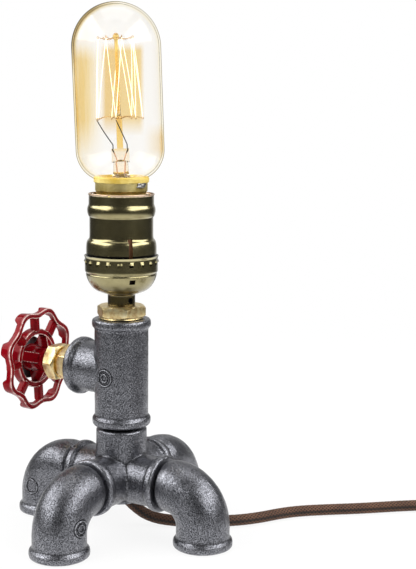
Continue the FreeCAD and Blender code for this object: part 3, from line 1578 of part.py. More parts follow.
def plug_blades():
    """Two flat brass blades, rooted in the plug body."""
    body = new_body("plug_blades")
    for side, tag in ((1, "left"), (-1, "right")):
        section = new_sketch(body, "YZ_Plane", f"{tag}_section", plug_long - blade_root)
        rectangle(section, side * blade_apart / 2, 0.0, blade_thick, blade_tall)
        blade = body.newObject("PartDesign::Pad", f"{tag}_blade")
        blade.Profile = section
        bind(blade, "Length", blade_long + blade_root)
        doc.recompute()
    place_on_plug(body)


def plug_strain_relief():
    """Tapered ribbed sleeve behind the plug."""
    body = new_body("plug_strain_relief")
    outline = [(-relief_long, 0.0), (-relief_long, cord_radius + 0.5)]
    ribs = 6
    pitch = relief_long * 0.8 / ribs
    for k in range(ribs):
        start = pitch * (k + 0.35) - relief_long
        radius = cord_radius + 0.7 + 1.6 * k / ribs
        outline += [
            (start, radius - 0.15),
            (start + 0.5, radius + 0.45, 0.7),
            (start + pitch * 0.62 - 0.5, radius + 0.45),
            (start + pitch * 0.62, radius - 0.15, 0.7),
        ]
    outline += [(-relief_long * 0.16, cord_radius + 2.4), (0.0, cord_radius + 2.8), (0.0, 0.0)]
    turn(body, "sleeve", outline, "X")
    place_on_plug(body)


def write_pieces():
    os.makedirs("parts", exist_ok=True)
    doc.recompute()
    for item in doc.Objects:
        if "Invalid" in item.State or "Error" in item.State:
            raise RuntimeError(f"{item.Label} failed: {item.State}")
    for piece in pieces:
        shape = piece.Shape
        if shape.isNull() or not shape.isValid():
            raise RuntimeError(f"{piece.Label} has no valid shape")
        shape.exportStep(f"parts/{piece.Label}.step")
    print(len(pieces), "pieces written")


base_cross()
for name, heading in (("front_right", 0), ("back_right", 90), ("back_left", 180), ("front_left", 270)):
    leg_elbow(f"leg_elbow_{name}", heading)
column_tee()
hex_bushing()
threaded_nipple()
valve_bonnet()
packing_nut()
packing_ring()
spindle()
handwheel()
index_plate()
handwheel_screw()
switch_body()
switch_rotor()
switch_contacts()
socket_cap()
cap_set_screw()
socket_shell()
insulating_sleeve()
socket_base()
terminal_plates()
terminal_screws()
screw_shell()
centre_contact()
bulb_cap()
bulb_insulator()
bulb_contact()
bulb_cement()
bulb_glass()
bulb_stem()
bulb_rod()
filament_supports()
filament()
lead_wires()
tube("cord_inside", CORD_INSIDE, cord_radius)
cord_bush()
tube("live_wire", LIVE_WIRE, core_radius)
tube("neutral_wire", NEUTRAL_WIRE, core_radius)
tube("switched_wire", SWITCHED_WIRE, core_radius)
tube("cord_run", CORD_ROUTE, cord_radius)
cord_coil()
tube("cord_tail", TAIL_ROUTE, cord_radius)
cord_tie()
plug_body()
plug_blades()
plug_strain_relief()
write_pieces()
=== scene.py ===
# %% [markdown]
# # A table lamp made of iron pipe fittings
# Four street elbows stand under a five-way cross, a tee stands on the cross, and a lamp holder with a tube
# bulb stands on the tee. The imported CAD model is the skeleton: this script loads it and gives every part
# the surface that its maker would give it. All sizes are in metres, so a millimetre has a name of its own.
# %% Load the frame
import itertools
import json
import math
from functools import partial

import bmesh
import bpy
import numpy as np
from mathutils import Matrix, Vector
from mathutils.bvhtree import BVHTree
from mathutils.kdtree import KDTree


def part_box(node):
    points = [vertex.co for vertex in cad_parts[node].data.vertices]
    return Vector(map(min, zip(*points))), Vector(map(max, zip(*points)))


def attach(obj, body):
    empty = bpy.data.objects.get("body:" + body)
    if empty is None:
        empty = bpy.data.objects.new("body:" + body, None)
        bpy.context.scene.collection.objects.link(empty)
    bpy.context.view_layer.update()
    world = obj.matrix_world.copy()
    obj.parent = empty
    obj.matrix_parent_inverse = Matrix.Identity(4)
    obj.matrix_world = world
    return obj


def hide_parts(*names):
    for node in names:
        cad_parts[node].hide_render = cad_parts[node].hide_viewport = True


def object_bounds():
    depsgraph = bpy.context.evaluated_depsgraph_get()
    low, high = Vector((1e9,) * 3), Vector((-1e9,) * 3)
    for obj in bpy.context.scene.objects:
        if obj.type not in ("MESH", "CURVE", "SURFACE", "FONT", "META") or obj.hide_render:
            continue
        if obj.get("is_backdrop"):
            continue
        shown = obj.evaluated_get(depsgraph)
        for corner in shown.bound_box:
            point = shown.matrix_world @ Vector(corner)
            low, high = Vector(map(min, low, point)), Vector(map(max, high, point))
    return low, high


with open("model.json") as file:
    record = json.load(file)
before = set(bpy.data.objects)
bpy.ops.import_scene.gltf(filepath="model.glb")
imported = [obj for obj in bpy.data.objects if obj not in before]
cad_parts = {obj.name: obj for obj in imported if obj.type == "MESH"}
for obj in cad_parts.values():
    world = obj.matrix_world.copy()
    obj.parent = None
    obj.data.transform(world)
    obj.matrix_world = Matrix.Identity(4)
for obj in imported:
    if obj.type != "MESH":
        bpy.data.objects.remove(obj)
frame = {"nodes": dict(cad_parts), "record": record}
CAD_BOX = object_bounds()
MM = 0.001
UP = Vector((0, 0, 1.0))
BODIES = frame["record"]["behaviour"]["bodies"]
BODY_OF = {node: body for body, nodes in BODIES.items() for node in nodes}
SLOT_OF = {part["node"]: part["material_slot"] for part in frame["record"]["subparts"]}
print("CAD box in mm:", [[round(v / MM, 1) for v in corner] for corner in CAD_BOX])


def shown(name, data):
    """An object of that data, linked to the scene."""
    made = bpy.data.objects.new(name, data)
    bpy.context.scene.collection.objects.link(made)
    return made

# %% [markdown]
# ## Camera
# A lamp is usually shown from a little above its middle, with a long lens so that upright pipes stay
# upright. The camera could be aimed by eye with a Track To constraint. Here its place and its three turns
# are plain numbers, because every other piece is checked against this one view.
# %% Camera
FRAME_HEIGHT = 569
SENSOR = 36.0
FOCAL_PIXELS = 1182.5
CAMERA_PLACE = Vector((0.3629, -0.4860, 0.2182))
CAMERA_HEADING, CAMERA_PITCH, CAMERA_ROLL = (math.radians(a) for a in (122.52, -8.24, 0.58))

away = Vector((math.cos(CAMERA_HEADING), math.sin(CAMERA_HEADING), 0))
ahead = away * math.cos(CAMERA_PITCH) + UP * math.sin(CAMERA_PITCH)
level_right = Vector((math.sin(CAMERA_HEADING), -math.cos(CAMERA_HEADING), 0))
level_up = level_right.cross(ahead)
camera_right = level_right * math.cos(CAMERA_ROLL) + level_up * math.sin(CAMERA_ROLL)
camera_up = camera_right.cross(ahead)
camera_turn = Matrix((camera_right, camera_up, -ahead)).transposed().to_4x4()
camera_data = bpy.data.cameras.new("camera")
camera_data.sensor_width = SENSOR
camera_data.lens = FOCAL_PIXELS * SENSOR / FRAME_HEIGHT
camera = shown("camera", camera_data)
camera.matrix_world = Matrix.Translation(CAMERA_PLACE) @ camera_turn
bpy.context.scene.camera = camera
bpy.context.scene.view_settings.view_transform = "Standard"
print("lens in mm:", round(camera_data.lens, 2))

# %% [markdown]
# ## Helpers for materials
# A node material is a small graph. One helper adds any node, with its settings, its unlinked inputs and
# its links, so that each material below reads as a list of what happens to the surface. Values go to the
# inputs in the order in which the node shows them. A Noise Texture's scale is how many lumps fit in a
# metre, so PER_MM / 10 gives lumps 10 mm across. Two settings of the Mix node recur: PAINT covers a colour
# with another, and GLAZE darkens it by multiplying. Colours are picked as the hex values that a screen
# shows, and a renderer works in linear light, so one function converts them.
# %% Material helpers
PER_MM = 1 / MM
PAINT = {"data_type": "RGBA"}
GLAZE = {"data_type": "RGBA", "blend_type": "MULTIPLY"}


def srgb(code):
    """The linear colour of a hex value such as #aabbcc."""
    parts = [int(code[i : i + 2], 16) / 255 for i in (1, 3, 5)]
    return tuple(p / 12.92 if p <= 0.04045 else ((p + 0.055) / 1.055) ** 2.4 for p in parts) + (1.0,)


def put(tree, kind, *values, stops=(), **named):
    """Adds a node. The values go to its inputs in order. A name in small letters is a setting, and any other
    is an input's. A node or a socket given as a value is linked. The stops are a Color Ramp's."""
    made = tree.nodes.new(kind if "Node" in kind else "ShaderNode" + kind)
    for key in filter(str.islower, list(named)):
        setattr(made, key, named.pop(key))
    plugs = [plug for plug in made.inputs if plug.enabled][: len(values)]
    plugs += [made.inputs[key.replace("_", " ")] for key in named]
    for plug, value in zip(plugs, [*values, *named.values()]):
        if isinstance(value, bpy.types.Node):
            value = next(socket for socket in value.outputs if socket.enabled)
        if isinstance(value, bpy.types.NodeSocket):
            tree.links.new(value, plug)
        else:
            plug.default_value = value
    if stops:
        band = made.color_ramp.elements
        while len(band) < len(stops):
            band.new(0.5)
        for element, (position, code) in zip(band, stops):
            element.position, element.color = position, srgb(code)
    return made


def start_material(name):
    """A new material: the helper for its tree, its Object coordinates, and what ends it in a shader."""
    material = bpy.data.materials.new(name)
    material.use_nodes = True
    material.node_tree.nodes.clear()
    add = partial(put, material.node_tree)

    def finish(shader):
        add("OutputMaterial", shader)
        return material

    return add, add("TexCoord").outputs["Object"], finish

# %% [markdown]
# ## Studio
# A product shown on white is lit by two large soft panels, one on each side, with the room between
# them dark: polished metal then shows bright flanks with dark bands, which is what tells the eye that it
# is metal. The backdrop could be lit to white by more lamps, but those would wash out the object too.
# So the world and the floor are simply white to the camera, through glass, and in the reflections on the
# backdrop's side, while the light that falls on the object stays plain.
# %% World
DARK_ROOM, SOFT_FILL = 0.052, 0.45
studio = bpy.data.worlds.new("white_studio")
studio.use_nodes = True
bpy.context.scene.world = studio
studio.node_tree.nodes.clear()
add = partial(put, studio.node_tree)
ray = add("LightPath").outputs
looking = add("TexCoord").outputs["Generated"]
flat_way = add("VectorMath", looking, (1, 1, 0), operation="MULTIPLY")
flat_way = add("VectorMath", flat_way, operation="NORMALIZE")
backdrop = add("VectorMath", flat_way, tuple(away), operation="DOT_PRODUCT")
glossy_level = add("MapRange", backdrop, 0.78, 0.97, DARK_ROOM, 0.6)
level = add("Mix", ray["Is Glossy Ray"], SOFT_FILL, glossy_level)
seen = add("Math", ray["Is Camera Ray"], ray["Is Transmission Ray"], operation="MAXIMUM")
inside = add("Math", ray["Transmission Depth"], 0.5, operation="GREATER_THAN")
inside = add("Math", inside, ray["Is Glossy Ray"], operation="MULTIPLY")
seen = add("Math", seen, inside, operation="MAXIMUM")
level = add("Mix", seen, level, 1.0)
add("OutputWorld", add("Background", (1, 1, 1, 1), level))
print("world:", studio.name, "room", DARK_ROOM, "fill", SOFT_FILL)

# %% Floor
FLOOR_RADIUS, FLOOR_DROP = 0.75, 0.2 * MM
add, place, finish = start_material("white_paper_sweep")
ray = add("LightPath").outputs
seen = add("Math", ray["Is Camera Ray"], ray["Is Glossy Ray"], operation="MAXIMUM")
seen = add("Math", seen, ray["Is Transmission Ray"], operation="MAXIMUM")
from_middle = add("VectorMath", place, operation="LENGTH")
whiteness = add("MapRange", from_middle, 0.25, 0.65, 0.88, 1.0)
white_share = add("Math", seen, whiteness, operation="MULTIPLY")
paper = add("BsdfDiffuse", srgb("#f4f4f4"))
mirrored = add("MapRange", from_middle, 0.30, 0.58, 1.0, 0.07)
strength = add("Mix", ray["Is Glossy Ray"], 1.0, mirrored)
glow = add("Emission", (1, 1, 1, 1), strength)
paper_white = finish(add("MixShader", white_share, paper, glow))


def shown_bmesh(name, mesh):
    """An object of what a bmesh holds."""
    data = bpy.data.meshes.new(name)
    mesh.to_mesh(data)
    mesh.free()
    return shown(name, data)


mesh = bmesh.new()
bmesh.ops.create_circle(mesh, cap_ends=True, radius=FLOOR_RADIUS, segments=96)
bmesh.ops.translate(mesh, verts=mesh.verts, vec=(0, 0, -FLOOR_DROP))
floor = shown_bmesh("floor", mesh)
floor.data.materials.append(paper_white)
floor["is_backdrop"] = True
print("floor across in metres:", 2 * FLOOR_RADIUS)

# %% Soft panels


def soft_panel(name, place, target, size, radiance):
    """An area light of that radiance: its power is pi times its area times the radiance."""
    data = bpy.data.lights.new(name, "AREA")
    data.shape = "RECTANGLE"
    data.size, data.size_y = size
    data.energy = math.pi * size[0] * size[1] * radiance
    panel = shown(name, data)
    aim = (target - place).to_track_quat("-Z", "Y").to_matrix().to_4x4()
    panel.matrix_world = Matrix.Translation(place) @ aim
    panel.visible_camera = False
    print(name, "power in watts:", round(data.energy, 1))


LAMP_MIDDLE = Vector((0, 0, 0.14))
SIDE_SIZE, SIDE_RADIANCE, SIDE_RISE = (1.7, 0.72), 3.5, UP * 0.62
for name, side, forward in (("panel_left", -0.85, 0.25), ("panel_right", 0.85, 0.48)):
    target = LAMP_MIDDLE - away * forward
    soft_panel(name, target + level_right * side + SIDE_RISE, target, SIDE_SIZE, SIDE_RADIANCE)
soft_panel("panel_top", LAMP_MIDDLE + UP * 1.1 + away * 0.1, LAMP_MIDDLE, (0.9, 0.9), 1.3)

# %% [markdown]
# ## Helpers for meshes
# The CAD meshes are loose triangles. A welded copy of one can be smoothed, bevelled or remeshed, and
# stands in for the node. Random relief comes from value noise: random numbers on a grid, blended
# smoothly between the grid's corners, with a fixed seed so that every run gives the same surface.
# %% Mesh helpers


def shade(piece, angle):
    """Shades a piece smooth, except at edges that are sharper than the angle."""
    piece.data.shade_smooth()
    piece.data.set_sharp_from_angle(angle=math.radians(angle))
    return piece


def make_piece(name, verts, faces):
    """A mesh object at the origin."""
    data = bpy.data.meshes.new(name)
    same_length = len({len(face) for face in faces}) == 1
    data.from_pydata(np.asarray(verts).tolist(), [], np.asarray(faces).tolist() if same_length else faces)
    data.validate()
    return shade(shown(name, data), 35)


def welded(node):
    """Vertices and triangles of a CAD node, with doubles merged."""
    data = frame["nodes"][node].data
    points = np.empty(len(data.vertices) * 3)
    data.vertices.foreach_get("co", points)
    points = points.reshape(-1, 3)
    corners = np.empty(len(data.polygons) * 3, int)
    data.polygons.foreach_get("vertices", corners)
    grid = np.round(points / 1e-6).astype(np.int64)
    _, first, index = np.unique(grid, axis=0, return_index=True, return_inverse=True)
    triangles = index.reshape(-1)[corners].reshape(-1, 3)
    good = np.all(triangles != np.roll(triangles, 1, axis=1), axis=1)
    return points[first], triangles[good]


def coords_of(piece):
    points = np.empty(len(piece.data.vertices) * 3)
    piece.data.vertices.foreach_get("co", points)
    return points.reshape(-1, 3)


def normals_of(piece):
    rows = np.empty(len(piece.data.vertices) * 3)
    piece.data.vertex_normals.foreach_get("vector", rows)
    return rows.reshape(-1, 3)


def set_coords(piece, points):
    piece.data.vertices.foreach_set("co", np.asarray(points, float).reshape(-1))
    piece.data.update()


# %% Bend of a skin


def bend(piece, rounds=2):
    """How much the skin bends at each vertex, in 1/mm: above 0 on edges, below 0 in hollows."""
    points, normals = coords_of(piece) / MM, normals_of(piece)
    ends = np.empty(len(piece.data.edges) * 2, int)
    piece.data.edges.foreach_get("vertices", ends)
    a, b = ends.reshape(-1, 2).T
    count = np.maximum(np.bincount(ends, minlength=len(points)), 1)

    def around(from_a, from_b):
        """The mean over a vertex's neighbours."""
        return (np.bincount(a, from_b, len(points)) + np.bincount(b, from_a, len(points))) / count

    middle = np.stack([around(points[a, k], points[b, k]) for k in range(3)], axis=1)
    squares = ((points[a] - points[b]) ** 2).sum(axis=1)
    value = -2 * ((middle - points) * normals).sum(axis=1) / np.maximum(around(squares, squares), 1e-6)
    for _ in range(rounds):
        value = (value + around(value[a], value[b])) / 2
    return value


def store(piece, name, values):
    """Keeps one number for each vertex as an attribute that a material can read."""
    layer = piece.data.attributes.new(name, "FLOAT", "POINT")
    layer.data.foreach_set("value", np.clip(values, -1, 1).astype(np.float32))


# %% Modifiers made real


def final_mesh(thing):
    """The plain mesh that a curve or an object's modifiers make."""
    graph = bpy.context.evaluated_depsgraph_get()
    graph.update()
    return bpy.data.meshes.new_from_object(thing.evaluated_get(graph))


def bake_modifiers(piece):
    """Turns the piece's modifiers into its mesh."""
    old, piece.data = piece.data, final_mesh(piece)
    piece.modifiers.clear()
    bpy.data.meshes.remove(old)


def melt(piece, voxel, rounds):
    """Remeshes a piece to one even skin, and smooths it that many times."""
    remesh = piece.modifiers.new("remesh", "REMESH")
    remesh.mode = "VOXEL"
    remesh.voxel_size = voxel
    smooth = piece.modifiers.new("smooth", "SMOOTH")
    smooth.factor = 0.5
    smooth.iterations = rounds
    bake_modifiers(piece)
    piece.data.shade_smooth()
    return piece


# %% Angles, noise and grids


def full_turn(count):
    """That many angles, evenly round a circle."""
    return np.arange(count) * 2 * math.pi / count


def smooth_step(value):
    """Rises from 0 to 1 with a soft start and end."""
    value = np.clip(value, 0, 1)
    return value * value * (3 - 2 * value)


def lumps(points, size, seed):
    """Smooth random values from -1 to 1 whose grains are size metres across."""
    table = np.random.default_rng(seed).uniform(-1, 1, (32, 32, 32))
    cell = np.floor(points / size).astype(int)
    part = smooth_step(points / size - cell)
    total = np.zeros(len(points))
    for corner in itertools.product((0, 1), repeat=3):
        weight = np.prod(np.where(corner, part, 1 - part), axis=1)
        total += weight * table[tuple(((cell + corner) % 32).T)]
    return total


def wrap_faces(columns, rows):
    """Quads of a grid that closes on itself both ways."""
    faces = []
    for i in range(columns):
        here, beside = i * rows, (i + 1) % columns * rows
        for k in range(rows):
            m = (k + 1) % rows
            faces.append((here + k, beside + k, beside + m, here + m))
    return faces


# %% Closing, joining and handing over


def sealed(piece):
    """Merges doubles, drops faces that have closed up, and turns every face outwards."""
    mesh = bmesh.new()
    mesh.from_mesh(piece.data)
    bmesh.ops.remove_doubles(mesh, verts=mesh.verts, dist=2e-6)
    bmesh.ops.dissolve_degenerate(mesh, edges=mesh.edges, dist=1e-7)
    bmesh.ops.recalc_face_normals(mesh, faces=mesh.faces)
    mesh.to_mesh(piece.data)
    mesh.free()
    return piece


def joined(name, *pieces):
    """One object out of several plain meshes."""
    mesh = bmesh.new()
    for piece in pieces:
        mesh.from_mesh(piece.data)
        bpy.data.objects.remove(piece)
    return shade(shown_bmesh(name, mesh), 42)


def hand_over(piece, node):
    """The piece takes the node's place and body, and the material of the node's slot in the record."""
    piece.data.materials.clear()
    piece.data.materials.append(MATERIALS[SLOT_OF[node]])
    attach(piece, BODY_OF[node])
    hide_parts(node)

# %% [markdown]
# ## Mains cord
# A braided cord is two cores in a woven sleeve, 6 mm thick and 1.8 m long. It could be a bevelled curve,
# which is quick, but a sleeve of thread has a relief of its own. So a NURBS curve with a few given
# points gives the line, and a tube of rings along the curve's own points gets the braid as geometry.
# Most of its length is put away in a tied coil of seven turns beside the lamp.
# %% Cord route
CORD_RADIUS = 3.0 * MM
CORD_EXIT = (2.2, 2.8, 14.4)
CORD_RUN = [
    CORD_EXIT, (6.13, 7.05, 8.18), (12.2, 11.6, 4.1), (20.4, 15.0, 3.02), (32.0, 20.5, 3.02),
    (49.8, 34.3, 3.02), (58.4, 46.2, 3.02), (64.1, 57.9, 3.02), (71.1, 67.7, 3.02), (83.7, 79.2, 3.02),
    (96.7, 90.1, 3.02), (113.3, 106.5, 3.02), (128.0, 119.0, 3.02), (143.5, 129.8, 3.1),
]  # fmt: skip
CORD_TAIL = [
    (227.0, 98.5, 8.9), (231.2, 82.5, 5.6), (231.4, 67.5, 3.1), (229.1, 52.5, 4.6), (226.7, 40.0, 6.5),
]  # fmt: skip
COIL_CENTRE = (184.0, 101.0)
COIL_START, COIL_END, POINTS_PER_TURN = 120.0, 20.0, 16
LAYERS = [(3.8, (42.6, 36.5, 30.4, 24.3)), (9.15, (27.3, 33.4, 39.5))]
STEP_OVER = 0.70
laps = [(radius, height) for height, radii in LAYERS for radius in radii]
count = int(round((len(laps) + (COIL_START - COIL_END) / 360) * POINTS_PER_TURN))
coil = []
for i in range(count + 1):
    travelled = i / POINTS_PER_TURN
    lap = min(int(travelled), len(laps) - 1)
    after = laps[min(lap + 1, len(laps) - 1)]
    ease = smooth_step((travelled - lap - STEP_OVER) / (1 - STEP_OVER))
    radius, height = (a + (b - a) * ease for a, b in zip(laps[lap], after))
    way = math.radians(COIL_START - 360 * travelled)
    coil.append((COIL_CENTRE[0] + radius * math.cos(way), COIL_CENTRE[1] + radius * math.sin(way), height))
route = [Vector(p) * MM for p in CORD_RUN + coil + CORD_TAIL]
print("points of the route:", len(route))

# %% Cord line


def guide_curve(name, kind, runs):
    """A curve object with a spline of that kind through each run of points, and its last spline."""
    curve = bpy.data.curves.new(name, "CURVE")
    curve.dimensions = "3D"
    for run in runs:
        spline = curve.splines.new(kind)
        spline.points.add(len(run) - 1)
        for point, at in zip(spline.points, run):
            point.co = (*at, 1.0)
    return shown(name, curve), spline


guide, spline = guide_curve("cord_line", "NURBS", [route])
spline.order_u = 3
spline.use_endpoint_u = True
spline.resolution_u = 12
traced = final_mesh(guide)
centre_line = np.array([v.co for v in traced.vertices])
bpy.data.objects.remove(guide)
bpy.data.meshes.remove(traced)

# %% Cord sleeve
RING_STEP, AROUND = 0.55 * MM, 20


def spaced(points, step):
    """The same line with its points step apart."""
    run = np.concatenate([[0], np.cumsum(np.linalg.norm(np.diff(points, axis=0), axis=1))])
    want = np.linspace(0, run[-1], max(2, int(round(run[-1] / step)) + 1))
    return np.stack([np.interp(want, run, points[:, k]) for k in range(3)], axis=1), want


def across_line(values, ways):
    """Lays one value for each ring and angle along each ring's own direction."""
    return ways[:, None, :] * values[..., None]


def sleeve(name, points, radius_at, around):
    """A closed tube along the points. radius_at(run, angle) gives its radius; it also gets a UV in metres."""
    points, run = spaced(points, RING_STEP)
    along = np.gradient(points, axis=0)
    along /= np.linalg.norm(along, axis=1)[:, None]
    side = np.cross(along, (0, 0, 1.0))
    side /= np.linalg.norm(side, axis=1)[:, None]
    top = np.cross(side, along)
    grid_run, grid_angle = np.meshgrid(run, full_turn(around), indexing="ij")
    radius = radius_at(grid_run, grid_angle)
    verts = points[:, None, :] + across_line(radius * np.cos(grid_angle), side)
    verts = (verts + across_line(radius * np.sin(grid_angle), top)).reshape(-1, 3)
    rows = len(points)
    faces, uvs = [], []
    wide = 2 * math.pi * CORD_RADIUS / around
    for i in range(rows - 1):
        for j in range(around):
            k = (j + 1) % around
            faces.append((i * around + j, (i + 1) * around + j, (i + 1) * around + k, i * around + k))
            near, far = j * wide, (j + 1) * wide
            uvs += [(run[i], near), (run[i + 1], near), (run[i + 1], far), (run[i], far)]
    faces += [tuple(range(around)), tuple(reversed(range((rows - 1) * around, rows * around)))]
    uvs += [(0.0, 0.0)] * around + [(float(run[-1]), 0.0)] * around
    data = bpy.data.meshes.new(name)
    data.from_pydata(verts.tolist(), [], faces)
    layer = data.uv_layers.new(name="sleeve")
    layer.data.foreach_set("uv", np.array(uvs, np.float32).reshape(-1))
    data.shade_smooth()
    return shown(name, data)


BRAID_PITCH, BRAID_STRANDS = 7.0 * MM, 8
BRAID_LIFT, GROOVE_DEEP, GROOVE_WIDE = 0.022, 0.10, 0.30


def braid_relief(run, angle):
    """Two sets of threads wind in opposite ways and cross over each other; the two cores leave a groove."""
    turn = run / BRAID_PITCH * 2 * math.pi
    right_hand = np.cos(angle * BRAID_STRANDS / 2 + turn * 2)
    left_hand = np.cos(angle * BRAID_STRANDS / 2 - turn * 2)
    groove = GROOVE_DEEP * np.exp(-((np.sin(angle) / GROOVE_WIDE) ** 2))
    return CORD_RADIUS * (0.975 + BRAID_LIFT * np.maximum(right_hand, left_hand) - groove)


cord = sleeve("mains_cord", centre_line, braid_relief, AROUND)
print("cord faces:", len(cord.data.polygons))

# %% [markdown]
# ## Brown rayon braid
# Rayon thread has a silky sheen along each strand and looks darker where strands dive under each other.
# Both are painted into the colour: painted shade in the gaps, painted sheen on the crests.
# An image would fix the weave at one size. The sleeve's own UV runs in metres, so two crossed waves of
# thread lie on it at their real pitch whatever the cord does.
# %% Braid material
THREAD_MM, THREAD_SLOPE = 2.1, 1.15


def braid_material(name, thread, shade, crest_sheen):
    add, place, finish = start_material(name)
    flat = add("UVMap", uv_map="sleeve")
    part = add("SeparateXYZ", flat).outputs
    waves = []
    for slope in (THREAD_SLOPE, -THREAD_SLOPE):
        lean = add("Math", part["Y"], slope, operation="MULTIPLY")
        across = add("Math", part["X"], lean, operation="ADD")
        wave = add("Math", across, 2 * math.pi * PER_MM / THREAD_MM, operation="MULTIPLY")
        waves.append(add("Math", wave, operation="SINE"))
    over = add("Math", *waves, operation="MAXIMUM")
    lit = add("MapRange", over, -0.4, 1.0)
    # Painted shade where the strands dive under, the thread's colour between, painted sheen on the crests.
    colour = add("ValToRGB", lit, stops=[(0.0, shade), (0.55, thread), (1.0, crest_sheen)])
    drift = add("TexNoise", place, PER_MM / 9, 3.0, 0.55)
    tint = add("ValToRGB", drift, stops=[(0.35, "#c9c3bd"), (0.65, "#ffffff")])
    colour = add("Mix", 0.8, colour, tint, **GLAZE)
    # Painted shade: a dark line along each flank of the cord, level with its middle.
    around = add("Math", part["Y"], 1 / CORD_RADIUS, operation="MULTIPLY")
    around = add("Math", around, operation="SINE")
    around = add("Math", around, operation="ABSOLUTE")
    low_tone_and_side_shade = add("MapRange", around, 0.05, 0.42)
    low_tone_and_side_shade = add("ValToRGB", low_tone_and_side_shade, stops=[(0.0, "#5a5654"), (1.0, "#ffffff")])
    colour = add("Mix", 1.0, colour, low_tone_and_side_shade, **GLAZE)
    hairs = add("TexNoise", flat, PER_MM / 0.25, 4.0, 0.55)
    relief = add("Math", hairs, 0.5, lit, operation="MULTIPLY_ADD")
    bump = add("Bump", Strength=0.8, Distance=0.2 * MM, Height=relief)
    return finish(
        add(
            "BsdfPrincipled", Base_Color=colour, Roughness=0.66, Normal=bump,
            Sheen_Weight=0.12, Sheen_Roughness=0.4, Sheen_Tint=srgb("#c79f78"),
        )
    )  # fmt: skip


MATERIALS = {"brown_braid": braid_material("rayon_braid_brown", "#4a2f20", "#190f0a", "#7a5238")}
hand_over(cord, "cord_run")
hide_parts("cord_coil", "cord_tail")
print("braid: one thread every", THREAD_MM, "mm")

# %% [markdown]
# ## Metals
# Malleable iron is sand cast: grey under a thin oil film, with a fine gritty skin. Brass is turned, so
# its grain runs in rings, and lamp-holder brass is plated dark and relieved, so it is olive in the
# hollows and gold on the edges. Each gets a metal shader whose colour and roughness vary with noise at
# the size of its real grain, and a bump for what is too fine to model.
# %% Cast iron
# Sand leaves grit of about a quarter of a millimetre. It is drawn twice as coarse, so that it shows.
GRIT_MM, LUMP_MM = 0.47, 1.9


def cast_iron():
    add, place, finish = start_material("malleable_iron_oiled")
    broad = add("TexNoise", place, PER_MM / 10, 4.0, 0.55)
    grit = add("TexNoise", place, PER_MM / GRIT_MM, 2.0, 0.6)
    lumpy = add("TexNoise", place, PER_MM / LUMP_MM, 3.0, 0.6)
    colour = add("ValToRGB", broad, stops=[(0.30, "#9d9ea4"), (0.55, "#adaeb4"), (0.75, "#bdbec4")])
    speck = add("ValToRGB", grit, stops=[(0.41, "#303033"), (0.49, "#a9a9ac"), (0.57, "#ffffff")])
    colour = add("Mix", 0.86, colour, speck, **GLAZE)
    # Painted shade darkens the hollows and creases, where the attribute is below 0, and the edges are kept a
    # little lighter.
    bent = add("Attribute", attribute_name="bend").outputs["Fac"]
    bent = add("MapRange", bent, -0.5, 0.5)
    crease_shade = [(0.08, "#232325"), (0.44, "#dededf"), (0.56, "#dededf"), (0.85, "#ffffff")]
    colour = add("Mix", 1.0, colour, add("ValToRGB", bent, stops=crease_shade), **GLAZE)
    rough = add("MapRange", grit, 0.38, 0.62, 0.37, 0.23)
    height = add("Math", lumpy, 0.45, grit, operation="MULTIPLY_ADD")
    bump = add("Bump", Strength=0.8, Distance=0.18 * MM, Height=height)
    return finish(add("BsdfPrincipled", Base_Color=colour, Metallic=0.93, Roughness=rough, Normal=bump))


MATERIALS["malleable_iron"] = cast_iron()
print("iron: grit of", GRIT_MM, "mm on lumps of", LUMP_MM, "mm")

# %% Turned and plated metals


def turned_metal(name, light_tone_and_edge_highlight, middle, low_tone_and_side_shade, rough, grain_mm=0.12, broad_mm=6.0):
    """Metal with rings of tool marks round the upright axis, and a colour that drifts."""
    add, place, finish = start_material(name)
    broad = add("TexNoise", place, PER_MM / broad_mm, 4.0, 0.55)
    rings = add("Mapping", place, Scale=(0.15, 0.15, 1.0))
    lines = add("TexNoise", rings, PER_MM / grain_mm, 2.0, 0.55)
    colour = add("ValToRGB", broad, stops=[(0.32, low_tone_and_side_shade), (0.52, middle), (0.72, light_tone_and_edge_highlight)])
    rough = add("MapRange", lines, 0.3, 0.7, rough - 0.05, rough + 0.08)
    bump = add("Bump", Strength=0.5, Distance=0.01 * MM, Height=lines)
    return finish(add("BsdfPrincipled", Base_Color=colour, Metallic=1.0, Roughness=rough, Normal=bump))


def two_part_wire():
    """Drawn wire: copper-clad in the stem, blackened above the press, bare and tan at the hooks."""
    add, place, finish = start_material("drawn_molybdenum_wire")
    height = add("SeparateXYZ", place).outputs["Z"]
    colour = add("MapRange", height, 197.2 * MM, 198.4 * MM)
    colour = add("ValToRGB", colour, stops=[(0.0, "#d3a787"), (1.0, "#0d0a07")])
    at_hooks = add("MapRange", height, 213.2 * MM, 214.6 * MM)
    colour = add("Mix", at_hooks, colour, srgb("#a8834e"), **PAINT)
    drift = add("TexNoise", place, PER_MM / 0.8, 3.0, 0.55)
    rough = add("MapRange", drift, 0.3, 0.7, 0.35, 0.5)
    return finish(add("BsdfPrincipled", Base_Color=colour, Metallic=0.6, Roughness=rough))


